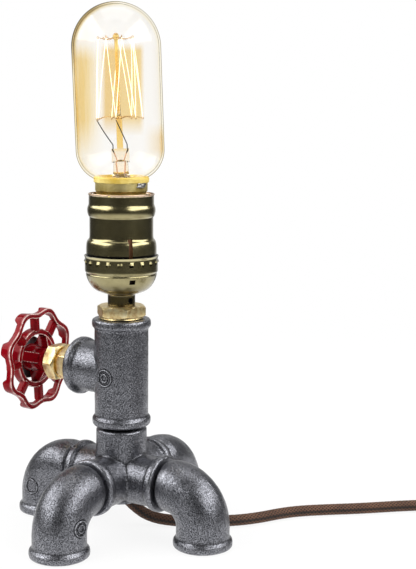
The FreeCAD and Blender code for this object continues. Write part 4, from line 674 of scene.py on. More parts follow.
for slot, *recipe in (
    ("yellow_brass", "turned_yellow_brass", "#fff2c8", "#f6e1a8", "#dcba80", 0.34, 0.3, 2.0),
    ("zinc_steel", "zinc_plated_steel", "#c3c4c6", "#aeb0b3", "#8f9194", 0.35),
    ("black_steel", "blackened_steel", "#2c2c2e", "#1c1c1e", "#121213", 0.38),
    ("spindle_steel", "turned_steel", "#b9babc", "#a3a4a6", "#8a8b8d", 0.28),
    ("plated_screw", "nickel_plated_steel", "#cfccc4", "#bdbab2", "#a19e97", 0.22),
    ("grey_plate", "satin_aluminium_grey", "#8b8f93", "#767a7e", "#5f6367", 0.42),
    ("contact_brass", "stamped_contact_brass", "#e8cc86", "#d7b669", "#b8944c", 0.3),
    ("blade_brass", "stamped_blade_brass", "#e6ca88", "#d6b56c", "#bb9850", 0.26),
    ("lamp_cap_brass", "rolled_cap_brass", "#efe0a4", "#dccb8a", "#b8a45f", 0.5),
    ("solder", "tin_solder", "#c9c9c7", "#b4b4b2", "#97979a", 0.34, 0.12, 2.0),
):
    MATERIALS[slot] = turned_metal(*recipe)
MATERIALS["support_wire"] = two_part_wire()
print("metals:", len(MATERIALS) - 1)

# %% [markdown]
# ## Antique plate
# The holder is brass under a thin dark lacquer that is polished through on the edges. In a dark room the
# plate mirrors dark, and turns gold where it mirrors a panel or the floor, so the metal itself is light.
# Height along the axis picks out the bare rolled edge, a painted highlight on the cap's lip, a painted
# shadow in the gap just above it and painted shade low on the bowl and neck, and noise gives the rubbed
# spots. The louvre tongues are painted lighter, as a painted highlight.
# %% Holder plate
RUBBED_EDGE, LIP_HIGHLIGHT, GAP_SHADOW, LOUVRES = 176.9, 145.0, 146.1, 142.6


def spun_plate():
    add, place, finish = start_material("antique_brass_plate")
    height = add("SeparateXYZ", place).outputs["Z"]
    broad = add("TexNoise", place, PER_MM / 7, 4.0, 0.55)
    colour = add("ValToRGB", broad, stops=[(0.28, "#958a5d"), (0.52, "#a3996c"), (0.76, "#b0a67b")])

    ragged = add("TexNoise", place, PER_MM / 1.3, 3.0, 0.55)
    ragged = add("Math", ragged, 1.4 * MM, height, operation="MULTIPLY_ADD")
    bare = add("MapRange", ragged, RUBBED_EDGE * MM, (RUBBED_EDGE + 0.4) * MM)
    colour = add("Mix", bare, colour, srgb("#f6d9bd"), **PAINT)
    # Two bands by height: a painted highlight on the cap's lip, and a nearly black painted shadow on the
    # shell just above it, where it meets the cap.
    for middle, half_width, code in ((LIP_HIGHLIGHT, 0.5, "#c9bf90"), (GAP_SHADOW, 0.55, "#070604")):
        band = add("Math", height, middle * MM, half_width * MM, operation="COMPARE")
        colour = add("Mix", band, colour, srgb(code), **PAINT)
    # Painted shade: the plate is darker towards the bottom, over the neck and the foot of the bowl.
    low = add("MapRange", height, 121 * MM, 137 * MM)
    low = add("ValToRGB", low, stops=[(0.0, "#8d8672"), (0.35, "#a39b83"), (0.75, "#ffffff")])
    colour = add("Mix", 1.0, colour, low, **GLAZE)
    rubbed = add("TexNoise", place, PER_MM / 1.1, 3.0, 0.55)
    rubbed = add("MapRange", rubbed, 0.73, 0.77)
    colour = add("Mix", rubbed, colour, srgb("#f2ebc4"), **PAINT)
    # Painted highlight: the louvre tongues are painted lighter than the plate.
    radial = add("VectorMath", place, (1, 1, 0), operation="MULTIPLY")
    radial = add("VectorMath", radial, operation="LENGTH")
    proud = add("MapRange", radial, 18.95 * MM, 19.05 * MM)
    louvre = add("Math", height, LOUVRES * MM, 1.7 * MM, operation="COMPARE")
    louvre = add("Math", louvre, proud, operation="MULTIPLY")
    colour = add("Mix", louvre, colour, srgb("#c4b984"), **PAINT)

    rings = add("Mapping", place, Scale=(0.12, 0.12, 1.0))
    lines = add("TexNoise", rings, PER_MM / 0.22, 2.0, 0.55)
    rough = add("MapRange", lines, 0.3, 0.7, 0.22, 0.27)
    duller = add("MapRange", height, 137 * MM, 133 * MM, 0.0, 0.08)
    rough = add("Math", rough, duller, operation="ADD")
    rough = add("Mix", louvre, rough, 0.5)
    rough = add("Mix", bare, rough, 0.45)
    bump = add("Bump", Strength=0.3, Distance=0.004 * MM, Height=lines)
    return finish(
        add(
            "BsdfPrincipled", Base_Color=colour, Metallic=1.0, Roughness=rough, Normal=bump,
            Coat_Weight=1.0, Coat_Roughness=0.16,
        )
    )  # fmt: skip


MATERIALS["antique_brass"] = spun_plate()
print("plate: bare above", RUBBED_EDGE, "mm")

# %% [markdown]
# ## Paint, plastic, rubber and ceramic
# Everything that isn't metal gets the same short recipe with its own numbers: a colour that drifts a
# little, a skin whose grain is the mould's or the brush's, and a coat where it is glazed or enamelled.
# %% Skins


def skin(name, light, dark, rough, grain_mm, bump_mm, coat_and_reflection=0.0, sheen=0.0):
    add, place, finish = start_material(name)
    broad = add("TexNoise", place, PER_MM / 8, 3.0, 0.55)
    fine = add("TexNoise", place, PER_MM / grain_mm, 3.0, 0.55)
    colour = add("ValToRGB", broad, stops=[(0.3, dark), (0.7, light)])
    rough = add("MapRange", fine, 0.3, 0.7, rough - 0.06, rough + 0.06)
    bump = add("Bump", Strength=0.5, Distance=bump_mm * MM, Height=fine)
    return finish(
        add(
            "BsdfPrincipled", Base_Color=colour, Roughness=rough, Normal=bump,
            Coat_Weight=coat_and_reflection, Coat_Roughness=0.05, Sheen_Weight=sheen,
        )
    )  # fmt: skip


for slot, *recipe in (
    ("graphite_packing", "graphite_braid_packing", "#2b2b2c", "#18181a", 0.6, 0.8, 0.1),
    ("switch_plastic", "black_phenolic", "#1d1d1f", "#131315", 0.35, 0.5, 0.01),
    ("cam_plastic", "cream_nylon", "#dcd6c6", "#cfc8b6", 0.42, 0.5, 0.01),
    ("fibre_paper", "vulcanised_fibre_brown", "#a8734c", "#7a4c2f", 0.5, 0.6, 0.03),
    ("porcelain", "brown_glazed_porcelain", "#3d2a20", "#2b1d16", 0.25, 2.0, 0.01, 0.3),
    ("black_glass", "black_fused_glass", "#121214", "#0a0a0c", 0.12, 1.5, 0.01, 0.6),
    ("lamp_cement", "baked_lamp_cement", "#eedd8c", "#c4a63c", 0.45, 0.9, 0.10),
    ("tie_strap", "black_woven_strap", "#232324", "#141415", 0.6, 0.35, 0.06, 0.0, 0.3),
    ("bush_rubber", "moulded_black_rubber", "#1e1e1f", "#141415", 0.55, 0.5, 0.02),
    ("black_insulation", "black_pvc", "#1b1b1c", "#121213", 0.4, 0.8, 0.01),
    ("white_insulation", "white_pvc", "#e4e3df", "#d8d6d1", 0.4, 0.8, 0.01),
    ("plug_plastic", "brown_moulded_pvc", "#3a281f", "#2d1e17", 0.38, 0.45, 0.02),
):
    MATERIALS[slot] = skin(*recipe)
print("materials so far:", len(MATERIALS))

# %% [markdown]
# ## Red enamel
# Enamel is a deep red glass over iron. Its colour is painted darker in the hollows, as painted shade, and
# the edges carry thin light lines, which are painted highlights. A Pointiness node would find edges only
# while rendering. The wheel's mesh carries an attribute, edge, that is 1 on them and below 0 in the
# hollows, and the colour follows that.
# %% Enamel


def enamel(name, deep, shallow, pale):
    add, place, finish = start_material(name)
    drift = add("TexNoise", place, PER_MM / 8, 3.0, 0.55)
    colour = add("ValToRGB", drift, stops=[(0.3, deep), (0.7, shallow)])
    edge = add("Attribute", attribute_name="edge").outputs["Fac"]
    # Painted shade: the colour is darker where edge is below 0, in the hollows.
    thick = add("MapRange", edge, -0.7, 0.0)
    thick = add("ValToRGB", thick, stops=[(0.0, "#5a5050"), (1.0, "#ffffff")])
    colour = add("Mix", 1.0, colour, thick, **GLAZE)
    # Painted highlights: thin light lines where edge is high, broken up by noise.
    broken = add("TexNoise", place, PER_MM / 2.6, 3.0, 0.55)
    broken = add("MapRange", broken, 0.36, 0.54, 0.25, 1.0)
    light_tone_and_edge_highlight = add("MapRange", edge, 0.30, 0.70)
    light_tone_and_edge_highlight = add("Math", light_tone_and_edge_highlight, broken, operation="MULTIPLY")
    colour = add("Mix", light_tone_and_edge_highlight, colour, srgb(pale), **PAINT)
    ripple = add("TexNoise", place, PER_MM / 3, 3.0, 0.55)
    bump = add("Bump", Strength=0.5, Distance=0.03 * MM, Height=ripple)
    return finish(
        add(
            "BsdfPrincipled", Base_Color=colour, Roughness=0.14, Normal=bump, Specular_IOR_Level=0.16,
            Specular_Tint=srgb("#ff6a6a"), Coat_Weight=0.1, Coat_Roughness=0.03,
        )
    )  # fmt: skip


MATERIALS["red_enamel"] = enamel("red_gloss_enamel", "#6a040e", "#880814", "#f6d6d0")
print("enamel:", MATERIALS["red_enamel"].name)

# %% [markdown]
# ## Lamp glass and filament
# The bulb is blown from soda-lime glass with a light amber coat: nearly clear when looked through, and
# amber-brown where the eye looks along the wall. Layer Weight gives that, since it depends only on how
# steeply the surface is seen. A true glass IOR of 1.5 doubles the rim with hard grey lines, and a wall of
# 0.9 mm hardly bends light. So the body's IOR is near that of air, and a clear coat gives the gloss. The
# lamps have to light what is inside, so shadow rays pass straight through. The wire glows, and its
# emission is set a little over white.
# %% Glass and glow
# These two ways place the painted reflections on the glass: towards the camera's left, where the left panel
# stands, and away from the camera.
REFLECTION_SIDE, AWAY_FROM_CAMERA = (-0.845, -0.535, 0.0), (-0.535, 0.845, 0.0)


def lit_inside(add, shader, code):
    """The shader, with shadow rays let through it in a pale tint."""
    shadow = add("LightPath").outputs["Is Shadow Ray"]
    return add("MixShader", shadow, shader, add("BsdfTransparent", srgb(code)))


def blown_glass(name, clear, reflection_amber, deep, edge):
    """Nearly clear glass, amber edge-on, with a painted reflection of the left panel towards heading 212
    degrees.
    """
    add, place, finish = start_material(name)

    def product(*ranges):
        """Multiplies ramps. Each is a value, two places in mm, and the levels there if not 0 and 1."""
        share = None
        for value, start, end, *levels in ranges:
            part = add("MapRange", value, start * MM, end * MM, *levels)
            share = add("Math", share, part, operation="MULTIPLY") if share else part
        return share

    rim = add("LayerWeight", Blend=0.30).outputs["Facing"]
    height = add("SeparateXYZ", place).outputs["Z"]
    side = add("VectorMath", place, REFLECTION_SIDE, operation="DOT_PRODUCT")
    depth = add("VectorMath", place, AWAY_FROM_CAMERA, operation="DOT_PRODUCT")
    # Painted reflection of the left panel: an amber band on the wall on that side, fading towards the top and
    # the bottom, broken into upright streaks.
    share = product(
        (side, 10, 19.5),
        (side, 23.5, 21, 0.3, 1.0),
        (height, 252, 244, 0.15, 1.0),
        (height, 196, 214, 0.2, 1.0),
    )
    streaks = add("Mapping", place, Scale=(1.0, 1.0, 0.06))
    streaks = add("TexNoise", streaks, PER_MM / 1.6, 3.0, 0.55)
    streaks = add("MapRange", streaks, 0.3, 0.6, 0.6, 1.0)
    share = add("Math", share, streaks, operation="MULTIPLY")
    coat_and_reflection = add("ValToRGB", share, stops=[(0.0, clear), (1.0, reflection_amber)])

    # Painted reflection of the glowing filament on the back wall, in amber, and a low smear on the camera's
    # right in the same colours.
    middle = add("Math", side, 0.8 * MM, operation="SUBTRACT")
    middle = add("Math", middle, operation="ABSOLUTE")
    glow_reflection_share = product((middle, 11.5, 9), (depth, 6, 9), (height, 254, 250), (height, 206, 216))
    low_smear = product((side, -12, -20), (height, 213, 206), (height, 194, 200, 0.0, 0.35))
    glow_reflection_share = add("Math", glow_reflection_share, low_smear, operation="MAXIMUM")
    glow_reflection = add("MapRange", side, 0.0, 6 * MM)
    glow_reflection = add("ValToRGB", glow_reflection, stops=[(0.0, deep), (1.0, "#eecf90")])
    coat_and_reflection = add("Mix", glow_reflection_share, coat_and_reflection, glow_reflection, **PAINT)
    grazed = add("MapRange", rim, 0.50, 0.85, 0.0, 0.30)
    colour = add("Mix", grazed, coat_and_reflection, srgb(edge), **PAINT)

    shoulder = product((side, 0, 14), (height, 236, 252))
    wall = add("ValToRGB", shoulder, stops=[(0.0, "#b9ad80"), (1.0, "#8b763a")])
    thin = add("Mix", shoulder, srgb("#fffefa"), srgb("#f3ebd3"), **PAINT)
    thin = add("Mix", 1.0, thin, coat_and_reflection, **GLAZE)
    thick = add("Math", shoulder, 0.08, rim, operation="MULTIPLY_ADD")
    thick = add("MapRange", thick, 0.62, 0.78)
    edge_on = add("BsdfTransparent", add("Mix", thick, thin, wall, **PAINT))
    ripple = add("TexNoise", place, PER_MM / 7, 1.0, 0.55)
    bump = add("Bump", Strength=0.2, Distance=0.06 * MM, Height=ripple)
    glass = add(
        "BsdfPrincipled", Base_Color=colour, Transmission_Weight=1.0, Roughness=0.0, IOR=1.02, Normal=bump,
        Coat_Weight=0.45, Coat_Roughness=0.1, Coat_Normal=bump,
    )  # fmt: skip
    body = add("MixShader", add("MapRange", rim, 0.36, 0.56), glass, edge_on)
    return finish(lit_inside(add, body, "#f2ead8"))


# %% Rod and filament


def tinted_rod():
    """Clear glass at the press, amber where the rod stands in the cage."""
    add, place, finish = start_material("drawn_clear_glass")
    height = add("SeparateXYZ", place).outputs["Z"]
    colour = add("MapRange", height, 198 * MM, 201 * MM)
    colour = add("ValToRGB", colour, stops=[(0.0, "#fbf0dc"), (1.0, "#f8d680")])
    glass = add("BsdfPrincipled", Base_Color=colour, Transmission_Weight=1.0, Roughness=0.02, IOR=1.45)
    return finish(lit_inside(add, glass, "#f7e2b8"))


def glowing_wire():
    add, place, finish = start_material("glowing_carbon_wire")
    drift = add("TexNoise", place, PER_MM / 6, 2.0, 0.55)
    glow = add("ValToRGB", drift, stops=[(0.3, "#ffe9bd"), (0.7, "#fff6e2")])
    return finish(
        add(
            "BsdfPrincipled", Base_Color=srgb("#d8b070"), Roughness=0.6,
            Emission_Color=glow, Emission_Strength=1.9,
        )
    )  # fmt: skip


MATERIALS["amber_glass"] = blown_glass("blown_amber_glass", "#fefdfb", "#f6e2ae", "#f2d79a", "#b08a3a")
MATERIALS["clear_glass"] = tinted_rod()
MATERIALS["filament_wire"] = glowing_wire()

# %% Materials on the parts
missing = sorted(set(SLOT_OF.values()) - set(MATERIALS))
print("materials:", len(MATERIALS), "slots without one:", missing)
for node, obj in frame["nodes"].items():
    obj.data.materials.clear()
    obj.data.materials.append(MATERIALS[SLOT_OF[node]])

# %% [markdown]
# ## Iron fittings
# A fitting leaves its sand mould with soft edges, a skin like fine sandpaper and a raised seam where the
# mould's halves met. Bevels on CAD edges would stay too crisp. A voxel remesh melts the whole casting
# into one even skin instead, a little smoothing rounds its edges as the sand does, and the grit is then
# pushed out along the normals. How much the skin bends is measured before the grit goes on and kept as an
# attribute, so that the material can keep the edges bright and paint shade into the hollows and creases.
# %% Marks on castings
CASTINGS = {
    "base_cross": 11,
    "leg_elbow_front_right": 12,
    "leg_elbow_back_right": 13,
    "leg_elbow_back_left": 14,
    "leg_elbow_front_left": 15,
    "column_tee": 16,
}
CAST_VOXEL, RING_THICK = 0.62 * MM, 0.42
CAST_RINGS = {
    "column_tee": ((-0.8, 0, 83.0), (0, 1.0, 0), (4.2, 2.0)),
    "leg_elbow_front_left": ((0, -51.0, 16.5), (-1.0, 0, 0), (3.9, 1.9)),
    "leg_elbow_back_left": ((-51.0, 0, 16.5), (0, 1.0, 0), (3.9,)),
    "leg_elbow_back_right": ((0, 51.0, 16.5), (-1.0, 0, 0), (3.9,)),
}
ELBOW_HEADINGS = {"front_right": 0, "back_right": 90, "back_left": 180, "front_left": 270}


def ridge(distance, width):
    """A raised line: 1 on it, falling to 0 a few widths away."""
    return np.exp(-((distance / width) ** 2))


def cast_marks(node, points):
    """Parting seams and dents, as heights in millimetres."""
    heading = math.radians(ELBOW_HEADINGS.get(node.removeprefix("leg_elbow_"), 0))
    out = (points[:, 0] * math.cos(heading) + points[:, 1] * math.sin(heading)) / MM
    side = (points[:, 1] * math.cos(heading) - points[:, 0] * math.sin(heading)) / MM
    up = points[:, 2] / MM
    if node.startswith("leg_elbow"):
        seam = ridge(side, 0.38) * 0.16 * (up > 6.5) * (out > 33)
        dents = ridge(np.hypot(out - 47.5, side + 9.0), 2.2) * (up > 30) * -0.3
        return seam + dents
    if node == "column_tee":
        return ridge(side, 0.38) * 0.14 * (np.abs(up - 84.5) < 22)
    return np.zeros(len(up))


def raised_ring(piece, centre, inward, radius):
    """A raised ring on a casting: points of a circle dropped on the skin, swept with a round section."""
    corners, faces = [v.co for v in piece.data.vertices], [p.vertices for p in piece.data.polygons]
    skin_tree = BVHTree.FromPolygons(corners, faces)
    centre, inward = Vector(centre), Vector(inward)
    sideways = inward.cross(UP)
    count, around, stand_off = 48, 8, 50 * MM
    spots, lifts = [], []
    for k in range(count):
        turn = k * 2 * math.pi / count
        start = (centre + (sideways * math.cos(turn) + UP * math.sin(turn)) * radius) * MM
        spot, normal, _, _ = skin_tree.ray_cast(start - inward * stand_off, inward)
        spots.append(spot)
        lifts.append(normal)
    verts = []
    for k in range(count):
        along = (spots[(k + 1) % count] - spots[k - 1]).normalized()
        out = lifts[k]
        across = along.cross(out).normalized()
        for j in range(around):
            a = j * 2 * math.pi / around
            verts.append(spots[k] + (out * (math.sin(a) + 0.3) + across * math.cos(a)) * RING_THICK * MM)
    ring = make_piece("raised_ring", [tuple(v) for v in verts], wrap_faces(count, around))
    return sealed(ring), np.array(spots)


# %% Cast fittings
for node, seed in CASTINGS.items():
    piece = melt(make_piece("iron_" + node, *welded(node)), CAST_VOXEL, 3)
    points, normals = coords_of(piece), normals_of(piece)
    relief = 0.045 * lumps(points, 2.6 * MM, seed) + 0.045 * lumps(points, 1.2 * MM, seed + 40)
    relief += cast_marks(node, points)
    bent = bend(piece, 8)
    points = points + normals * (relief * MM)[:, None]
    low, high = (np.array(corner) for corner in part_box(node))
    set_coords(piece, np.clip(points, low, high))
    centre, inward, radii = CAST_RINGS.get(node, ((), (), ()))
    rings = [raised_ring(piece, centre, inward, radius) for radius in radii]
    # Painted shade runs along the foot of each raised ring: the skin there is darkened as in a crease.
    for ring, spots in rings:
        gap = KDTree(len(spots))
        for k, spot in enumerate(spots):
            gap.insert(spot, k)
        gap.balance()
        near = np.flatnonzero(np.linalg.norm(points - spots.mean(axis=0), axis=1) < 8 * MM)
        far = np.array([gap.find(points[k])[2] for k in near]) / MM
        bent[near] -= 0.7 * ridge(np.maximum(far - 0.45, 0), 0.35)
    piece = joined("iron_" + node, piece, *[ring for ring, _ in rings])
    store(piece, "bend", np.concatenate([bent, np.full(len(piece.data.vertices) - len(bent), 0.3)]))
    hand_over(piece, node)
    print(piece.name, "faces:", len(piece.data.polygons))

# %% [markdown]
# ## Helpers for turned and pressed shapes
# Turned and spun parts are drawn as half a section: corners, each with a length by which it is rounded.
# A Screw modifier would turn such a line too, but the wall of a spun sheet needs windows cut in it, which
# is easiest while the rows and columns of the grid are still known.
# %% Sections and lathe


def softened(corners, steps=4):
    """Rounds each corner (a, b, cut): the curve leaves cut before the corner and joins cut after it."""
    points, count = [], len(corners)
    for k, (a, b, cut) in enumerate(corners):
        here = Vector((a, b))
        if cut <= 0:
            points.append((a, b))
            continue
        before = Vector(corners[k - 1][:2]) - here
        after = Vector(corners[(k + 1) % count][:2]) - here
        start = here + before.normalized() * min(cut, before.length * 0.49)
        end = here + after.normalized() * min(cut, after.length * 0.49)
        for i in range(steps + 1):
            t = i / steps
            spot = start * (1 - t) ** 2 + here * 2 * t * (1 - t) + end * t * t
            points.append((spot.x, spot.y))
    return points


def ring_grid(section, angles):
    """Points of a closed section of (radius, height) rows at each angle, as an array angle x row x 3."""
    section = np.array(section)
    turn = np.array(angles)
    flat = np.stack([np.cos(turn), np.sin(turn)], axis=1)
    grid = np.empty((len(turn), len(section), 3))
    grid[:, :, :2] = flat[:, None, :] * section[None, :, 0, None]
    grid[:, :, 2] = section[None, :, 1]
    return grid


def turned_piece(name, corners, segments):
    """A closed solid of revolution about the upright axis, drawn in millimetres."""
    section = softened(corners)
    grid = ring_grid(section, full_turn(segments))
    piece = make_piece(name, grid.reshape(-1, 3) * MM, wrap_faces(segments, len(section)))
    return shade(sealed(piece), 32)


# %% Spun sheet


def sheet_wall(name, outer, thick, windows, segments=360):
    """A spun sheet: outer rows of (radius, height), a wall that thick, and windows(column, row) cut in it."""
    outer = np.array(outer)
    along = np.gradient(outer, axis=0)
    along /= np.linalg.norm(along, axis=1)[:, None]
    inner = outer - thick * np.stack([along[:, 1], -along[:, 0]], axis=1)
    rows = len(outer)
    shells = [ring_grid(side, full_turn(segments)).reshape(-1, 3) for side in (outer, inner)]
    inside = segments * rows

    def at(column, row):
        return (column % segments) * rows + row

    cut = {(i, k) for i in range(segments) for k in range(rows - 1) if windows(i, k)}
    faces = []
    for i in range(segments):
        for end in (0, rows - 1):
            a, b = at(i, end), at(i + 1, end)
            faces.append((a, b, inside + b, inside + a))
        for k in range(rows - 1):
            square = (at(i, k), at(i + 1, k), at(i + 1, k + 1), at(i, k + 1))
            if (i, k) not in cut:
                faces.append(square)
                faces.append(tuple(inside + v for v in reversed(square)))
                continue
            beside = ((i, k - 1), ((i + 1) % segments, k), (i, k + 1), ((i - 1) % segments, k))
            for side, cell in enumerate(beside):
                a, b = square[side], square[(side + 1) % 4]
                if cell not in cut:
                    faces.append((a, b, inside + b, inside + a))
    return shade(sealed(make_piece(name, np.concatenate(shells) * MM, faces)), 50)


def rows_between(section, longest):
    """Adds rows to an open section so that none is longer than that."""
    rows = [section[0]]
    for a, b in zip(section, section[1:]):
        parts = max(1, math.ceil(math.dist(a, b) / longest))
        step = (np.array(b) - np.array(a)) / parts
        rows += [tuple(np.array(a) + step * (i + 1)) for i in range(parts)]
    return rows

# %% [markdown]
# ## Lamp holder
# The holder is two cups spun from thin brass: a cap with a neck, a bowl and a rim with louvres, and a
# shell with two rolled beads, pushed into the cap until a lug snaps in its slot. Both are drawn as open
# sections with a wall added, so the windows are real holes through sheet metal.
# %% Holder cap
VENT_HEADING, SCREW_HEADING, HOLE_HEADING, SLOT_HEADING = -55.5, -11.0, -34.7, -38.0
VENT_COUNT, VENT_HALF_WIDTH, VENT_LOW, VENT_HIGH = 20, 1.3, 141.1, 142.4
HOLE_HALF_WIDTH, HOLE_LOW, HOLE_HIGH = 1.5, 132.3, 134.5
SCREW_HOLE, SCREW_HEIGHT, NECK_TOP = 1.65, 122.4, 125
CAP_SECTION = [
    (5.3, 119.5, 0.0), (7.1, 119.5, 0.5), (7.1, 125.6, 0.9), (9.6, 126.1, 0.6), (14.1, 127.9, 2.2),
    (17.1, 131.9, 2.2), (18.35, 135.9, 0.5), (18.05, 136.3, 0.2), (18.1, 136.7, 0.2), (18.75, 137.5, 0.35),
    (18.8, 138.4, 0.3), (18.8, VENT_LOW, 0.0), (18.8, VENT_HIGH, 0.0), (18.8, 144.5, 0.4), (19.2, 145.5, 0.0),
]  # fmt: skip


def open_section(corners):
    """Softens the inner corners of an open section and keeps its two ends."""
    return [corners[0][:2]] + softened(corners, 5)[1:-1] + [corners[-1][:2]]


def heading_gap(column, heading, period=360.0):
    """How far, in degrees, the middle of a column lies from a heading that recurs after a period."""
    return abs((column + 0.5 - heading + period / 2) % period - period / 2)


cap_rows = rows_between(open_section(CAP_SECTION), 0.45)


def cap_windows(column, row):
    radius, height = (np.array(cap_rows[row]) + np.array(cap_rows[row + 1])) / 2
    arc = math.radians(1.0) * radius
    if VENT_LOW < height < VENT_HIGH:
        return heading_gap(column, VENT_HEADING, 360 / VENT_COUNT) * arc < VENT_HALF_WIDTH
    if HOLE_LOW < height < HOLE_HIGH:
        return heading_gap(column, HOLE_HEADING) * arc < HOLE_HALF_WIDTH
    screw_gap = math.hypot(heading_gap(column, SCREW_HEADING) * arc, height - SCREW_HEIGHT)
    return height < NECK_TOP and screw_gap < SCREW_HOLE


cap = sheet_wall("holder_cap", cap_rows, 0.6, cap_windows)
print("holder cap faces:", len(cap.data.polygons))

# %% [markdown]
# Each louvre is a tongue pressed outwards above its slot. One tongue is modelled, a strip that leans out
# and curls in at both sides, and Geometry Nodes set it round the rim: a mesh circle gives the places, its
# normals give the directions, and the result is realised so that it is part of the mesh.
# %% Louvres


def tongue_mesh():
    """A small pressed tongue at the origin, outwards along X, in metres."""
    across, down = 9, 5
    rows = []
    for side in (0.0, -0.35):
        for j in range(down):
            for i in range(across):
                u, v = i / (across - 1) * 2 - 1, j / (down - 1)
                out = 0.55 * v * (1 - u**4) + 0.12 + side
                rows.append((out * MM, u * (VENT_HALF_WIDTH + 0.05) * MM, (1.5 - 1.55 * v) * MM))
    count = across * down
    faces = []
    for j in range(down - 1):
        for i in range(across - 1):
            a = j * across + i
            faces.append((a, a + across, a + across + 1, a + 1))
            faces.append((count + a, count + a + 1, count + a + across + 1, count + a + across))
    rim = [*range(across), *[j * across + across - 1 for j in range(1, down)]]
    rim += [*range(count - 2, count - across - 1, -1), *[j * across for j in range(down - 2, 0, -1)]]
    for a, b in zip(rim, rim[1:] + rim[:1]):
        faces.append((a, b, count + b, count + a))
    return sealed(make_piece("louvre_tongue", rows, faces))


# %% Helpers for geometry trees


def new_tree(name, **inputs):
    """A geometry tree with named inputs of a kind and a default: the tree, its helper and its inputs."""
    tree = bpy.data.node_groups.new(name, "GeometryNodeTree")
    new_socket = tree.interface.new_socket
    for title, (kind, *default) in inputs.items():
        made = new_socket(title.replace("_", " "), in_out="INPUT", socket_type="NodeSocket" + kind)
        if default:
            made.default_value = default[0]
    new_socket("Geometry", in_out="OUTPUT", socket_type="NodeSocketGeometry")
    add = partial(put, tree)
    return tree, add, add("NodeGroupInput").outputs


def end_tree(add, geometry, material):
    """Realizes a tree's instances, because an export drops them, and sets their material."""
    real = add("GeometryNodeRealizeInstances", geometry)
    add("NodeGroupOutput", add("GeometryNodeSetMaterial", real, Material=material))


def use_tree(piece, tree, **inputs):
    """Gives a piece the tree as a modifier, with its inputs set by their sockets' identifiers."""
    modifier = piece.modifiers.new(tree.name, "NODES")
    modifier.node_group = tree
    for socket in tree.interface.items_tree:
        if socket.name in inputs:
            modifier[socket.identifier] = inputs[socket.name]


# %% Louvre ring


def ring_of(name, unit, count, radius, height, turned):
    """Geometry Nodes set a unit piece round the upright axis, and the result is made a plain mesh."""
    tree, add, given = new_tree(
        name + "_tree", Unit=("Object",), Count=("Int", count), Radius=("Float", radius),
        Height=("Float", height), Turned=("Float", turned), Material=("Material", MATERIALS["antique_brass"]),
    )  # fmt: skip
    circle = add("GeometryNodeMeshCircle", given["Count"], given["Radius"])
    step = add("Math", 2 * math.pi, given["Count"], operation="DIVIDE")
    turn = add("Math", add("GeometryNodeInputIndex"), step, operation="MULTIPLY")
    way = add("CombineXYZ", Z=turn)
    unit_mesh = add("GeometryNodeObjectInfo", given["Unit"]).outputs["Geometry"]
    placed = add("GeometryNodeInstanceOnPoints", circle, Instance=unit_mesh, Rotation=way)
    lift, swing = add("CombineXYZ", Z=given["Height"]), add("CombineXYZ", Z=given["Turned"])
    moved = add("GeometryNodeTransform", placed, Translation=lift, Rotation=swing)
    end_tree(add, moved, given["Material"])
    piece = make_piece(name, [(0, 0, 0), (MM, 0, 0), (0, MM, 0)], [(0, 1, 2)])
    use_tree(piece, tree, Unit=unit)
    bake_modifiers(piece)
    bpy.data.objects.remove(unit)
    print(name, "faces:", len(piece.data.polygons))
    return piece


VENT_TURN = math.radians(VENT_HEADING)
louvres = ring_of("louvre_ring", tongue_mesh(), VENT_COUNT, 18.65 * MM, (VENT_HIGH - 0.05) * MM, VENT_TURN)
cap = joined("holder_cap_louvred", cap, louvres)
hand_over(cap, "socket_cap")

# %% Holder shell
SHELL_SECTION = [
    (17.9, 139.2, 0.0), (18.05, 141.0, 0.5), (18.1, 150.1, 1.2), (17.75, 153.0, 1.5), (16.45, 154.3, 0.85),
    (16.35, 156.4, 0.9), (16.35, 165.3, 0.3), (16.9, 165.9, 0.4), (17.35, 167.3, 0.6), (17.55, 168.8, 0.7),
    (17.35, 170.4, 0.8), (16.75, 171.6, 0.7), (16.7, 176.2, 0.4), (17.0, 176.7, 0.35), (17.0, 177.3, 0.2),
    (16.5, 177.4, 0.0),
]  # fmt: skip
NOTCH_HEADINGS, NOTCH_HALF_WIDTH, NOTCH_LOW = (-74.5, 2.5, 122.0, 190.0), 0.85, 176.3
SLOT_HALF_WIDTH, SLOT_LOW, SLOT_HIGH = 1.05, 139.7, 155.2
shell_rows = rows_between(open_section(SHELL_SECTION), 0.5)


def shell_windows(column, row):
    radius, height = (np.array(shell_rows[row]) + np.array(shell_rows[row + 1])) / 2
    arc = math.radians(1.0) * radius
    if height > NOTCH_LOW:
        return min(heading_gap(column, notch) for notch in NOTCH_HEADINGS) * arc < NOTCH_HALF_WIDTH
    return heading_gap(column, SLOT_HEADING) * arc < SLOT_HALF_WIDTH and SLOT_LOW < height < SLOT_HIGH


shell = sheet_wall("holder_shell", shell_rows, 0.5, shell_windows)
hand_over(shell, "socket_shell")
print("holder shell faces:", len(shell.data.polygons))

# %% [markdown]
# ## Hexagon parts
# A hexagon bar is turned on a lathe before it is cut off, so a cone takes its corners away at both faces.
# That is a Boolean of a prism and a cone. In polar form it is simpler: at each angle the flat gives the
# radius, and where it is beyond the cone, the face is lower. So one grid of rings makes the whole nut.
# %% Hexagon function
HEX_SEGMENTS, HEX_BLUNT, HEX_EDGE = 240, 0.985, 0.18


def hex_ring(flats, corner_angle):
    """Angles, and the hexagon's radius at each, with its six corners slightly blunted."""
    angles = full_turn(HEX_SEGMENTS)
    off = (angles - math.radians(corner_angle)) % (math.pi / 3) - math.pi / 6
    return angles, np.minimum(flats / 2 / np.cos(off), flats / math.sqrt(3) * HEX_BLUNT)


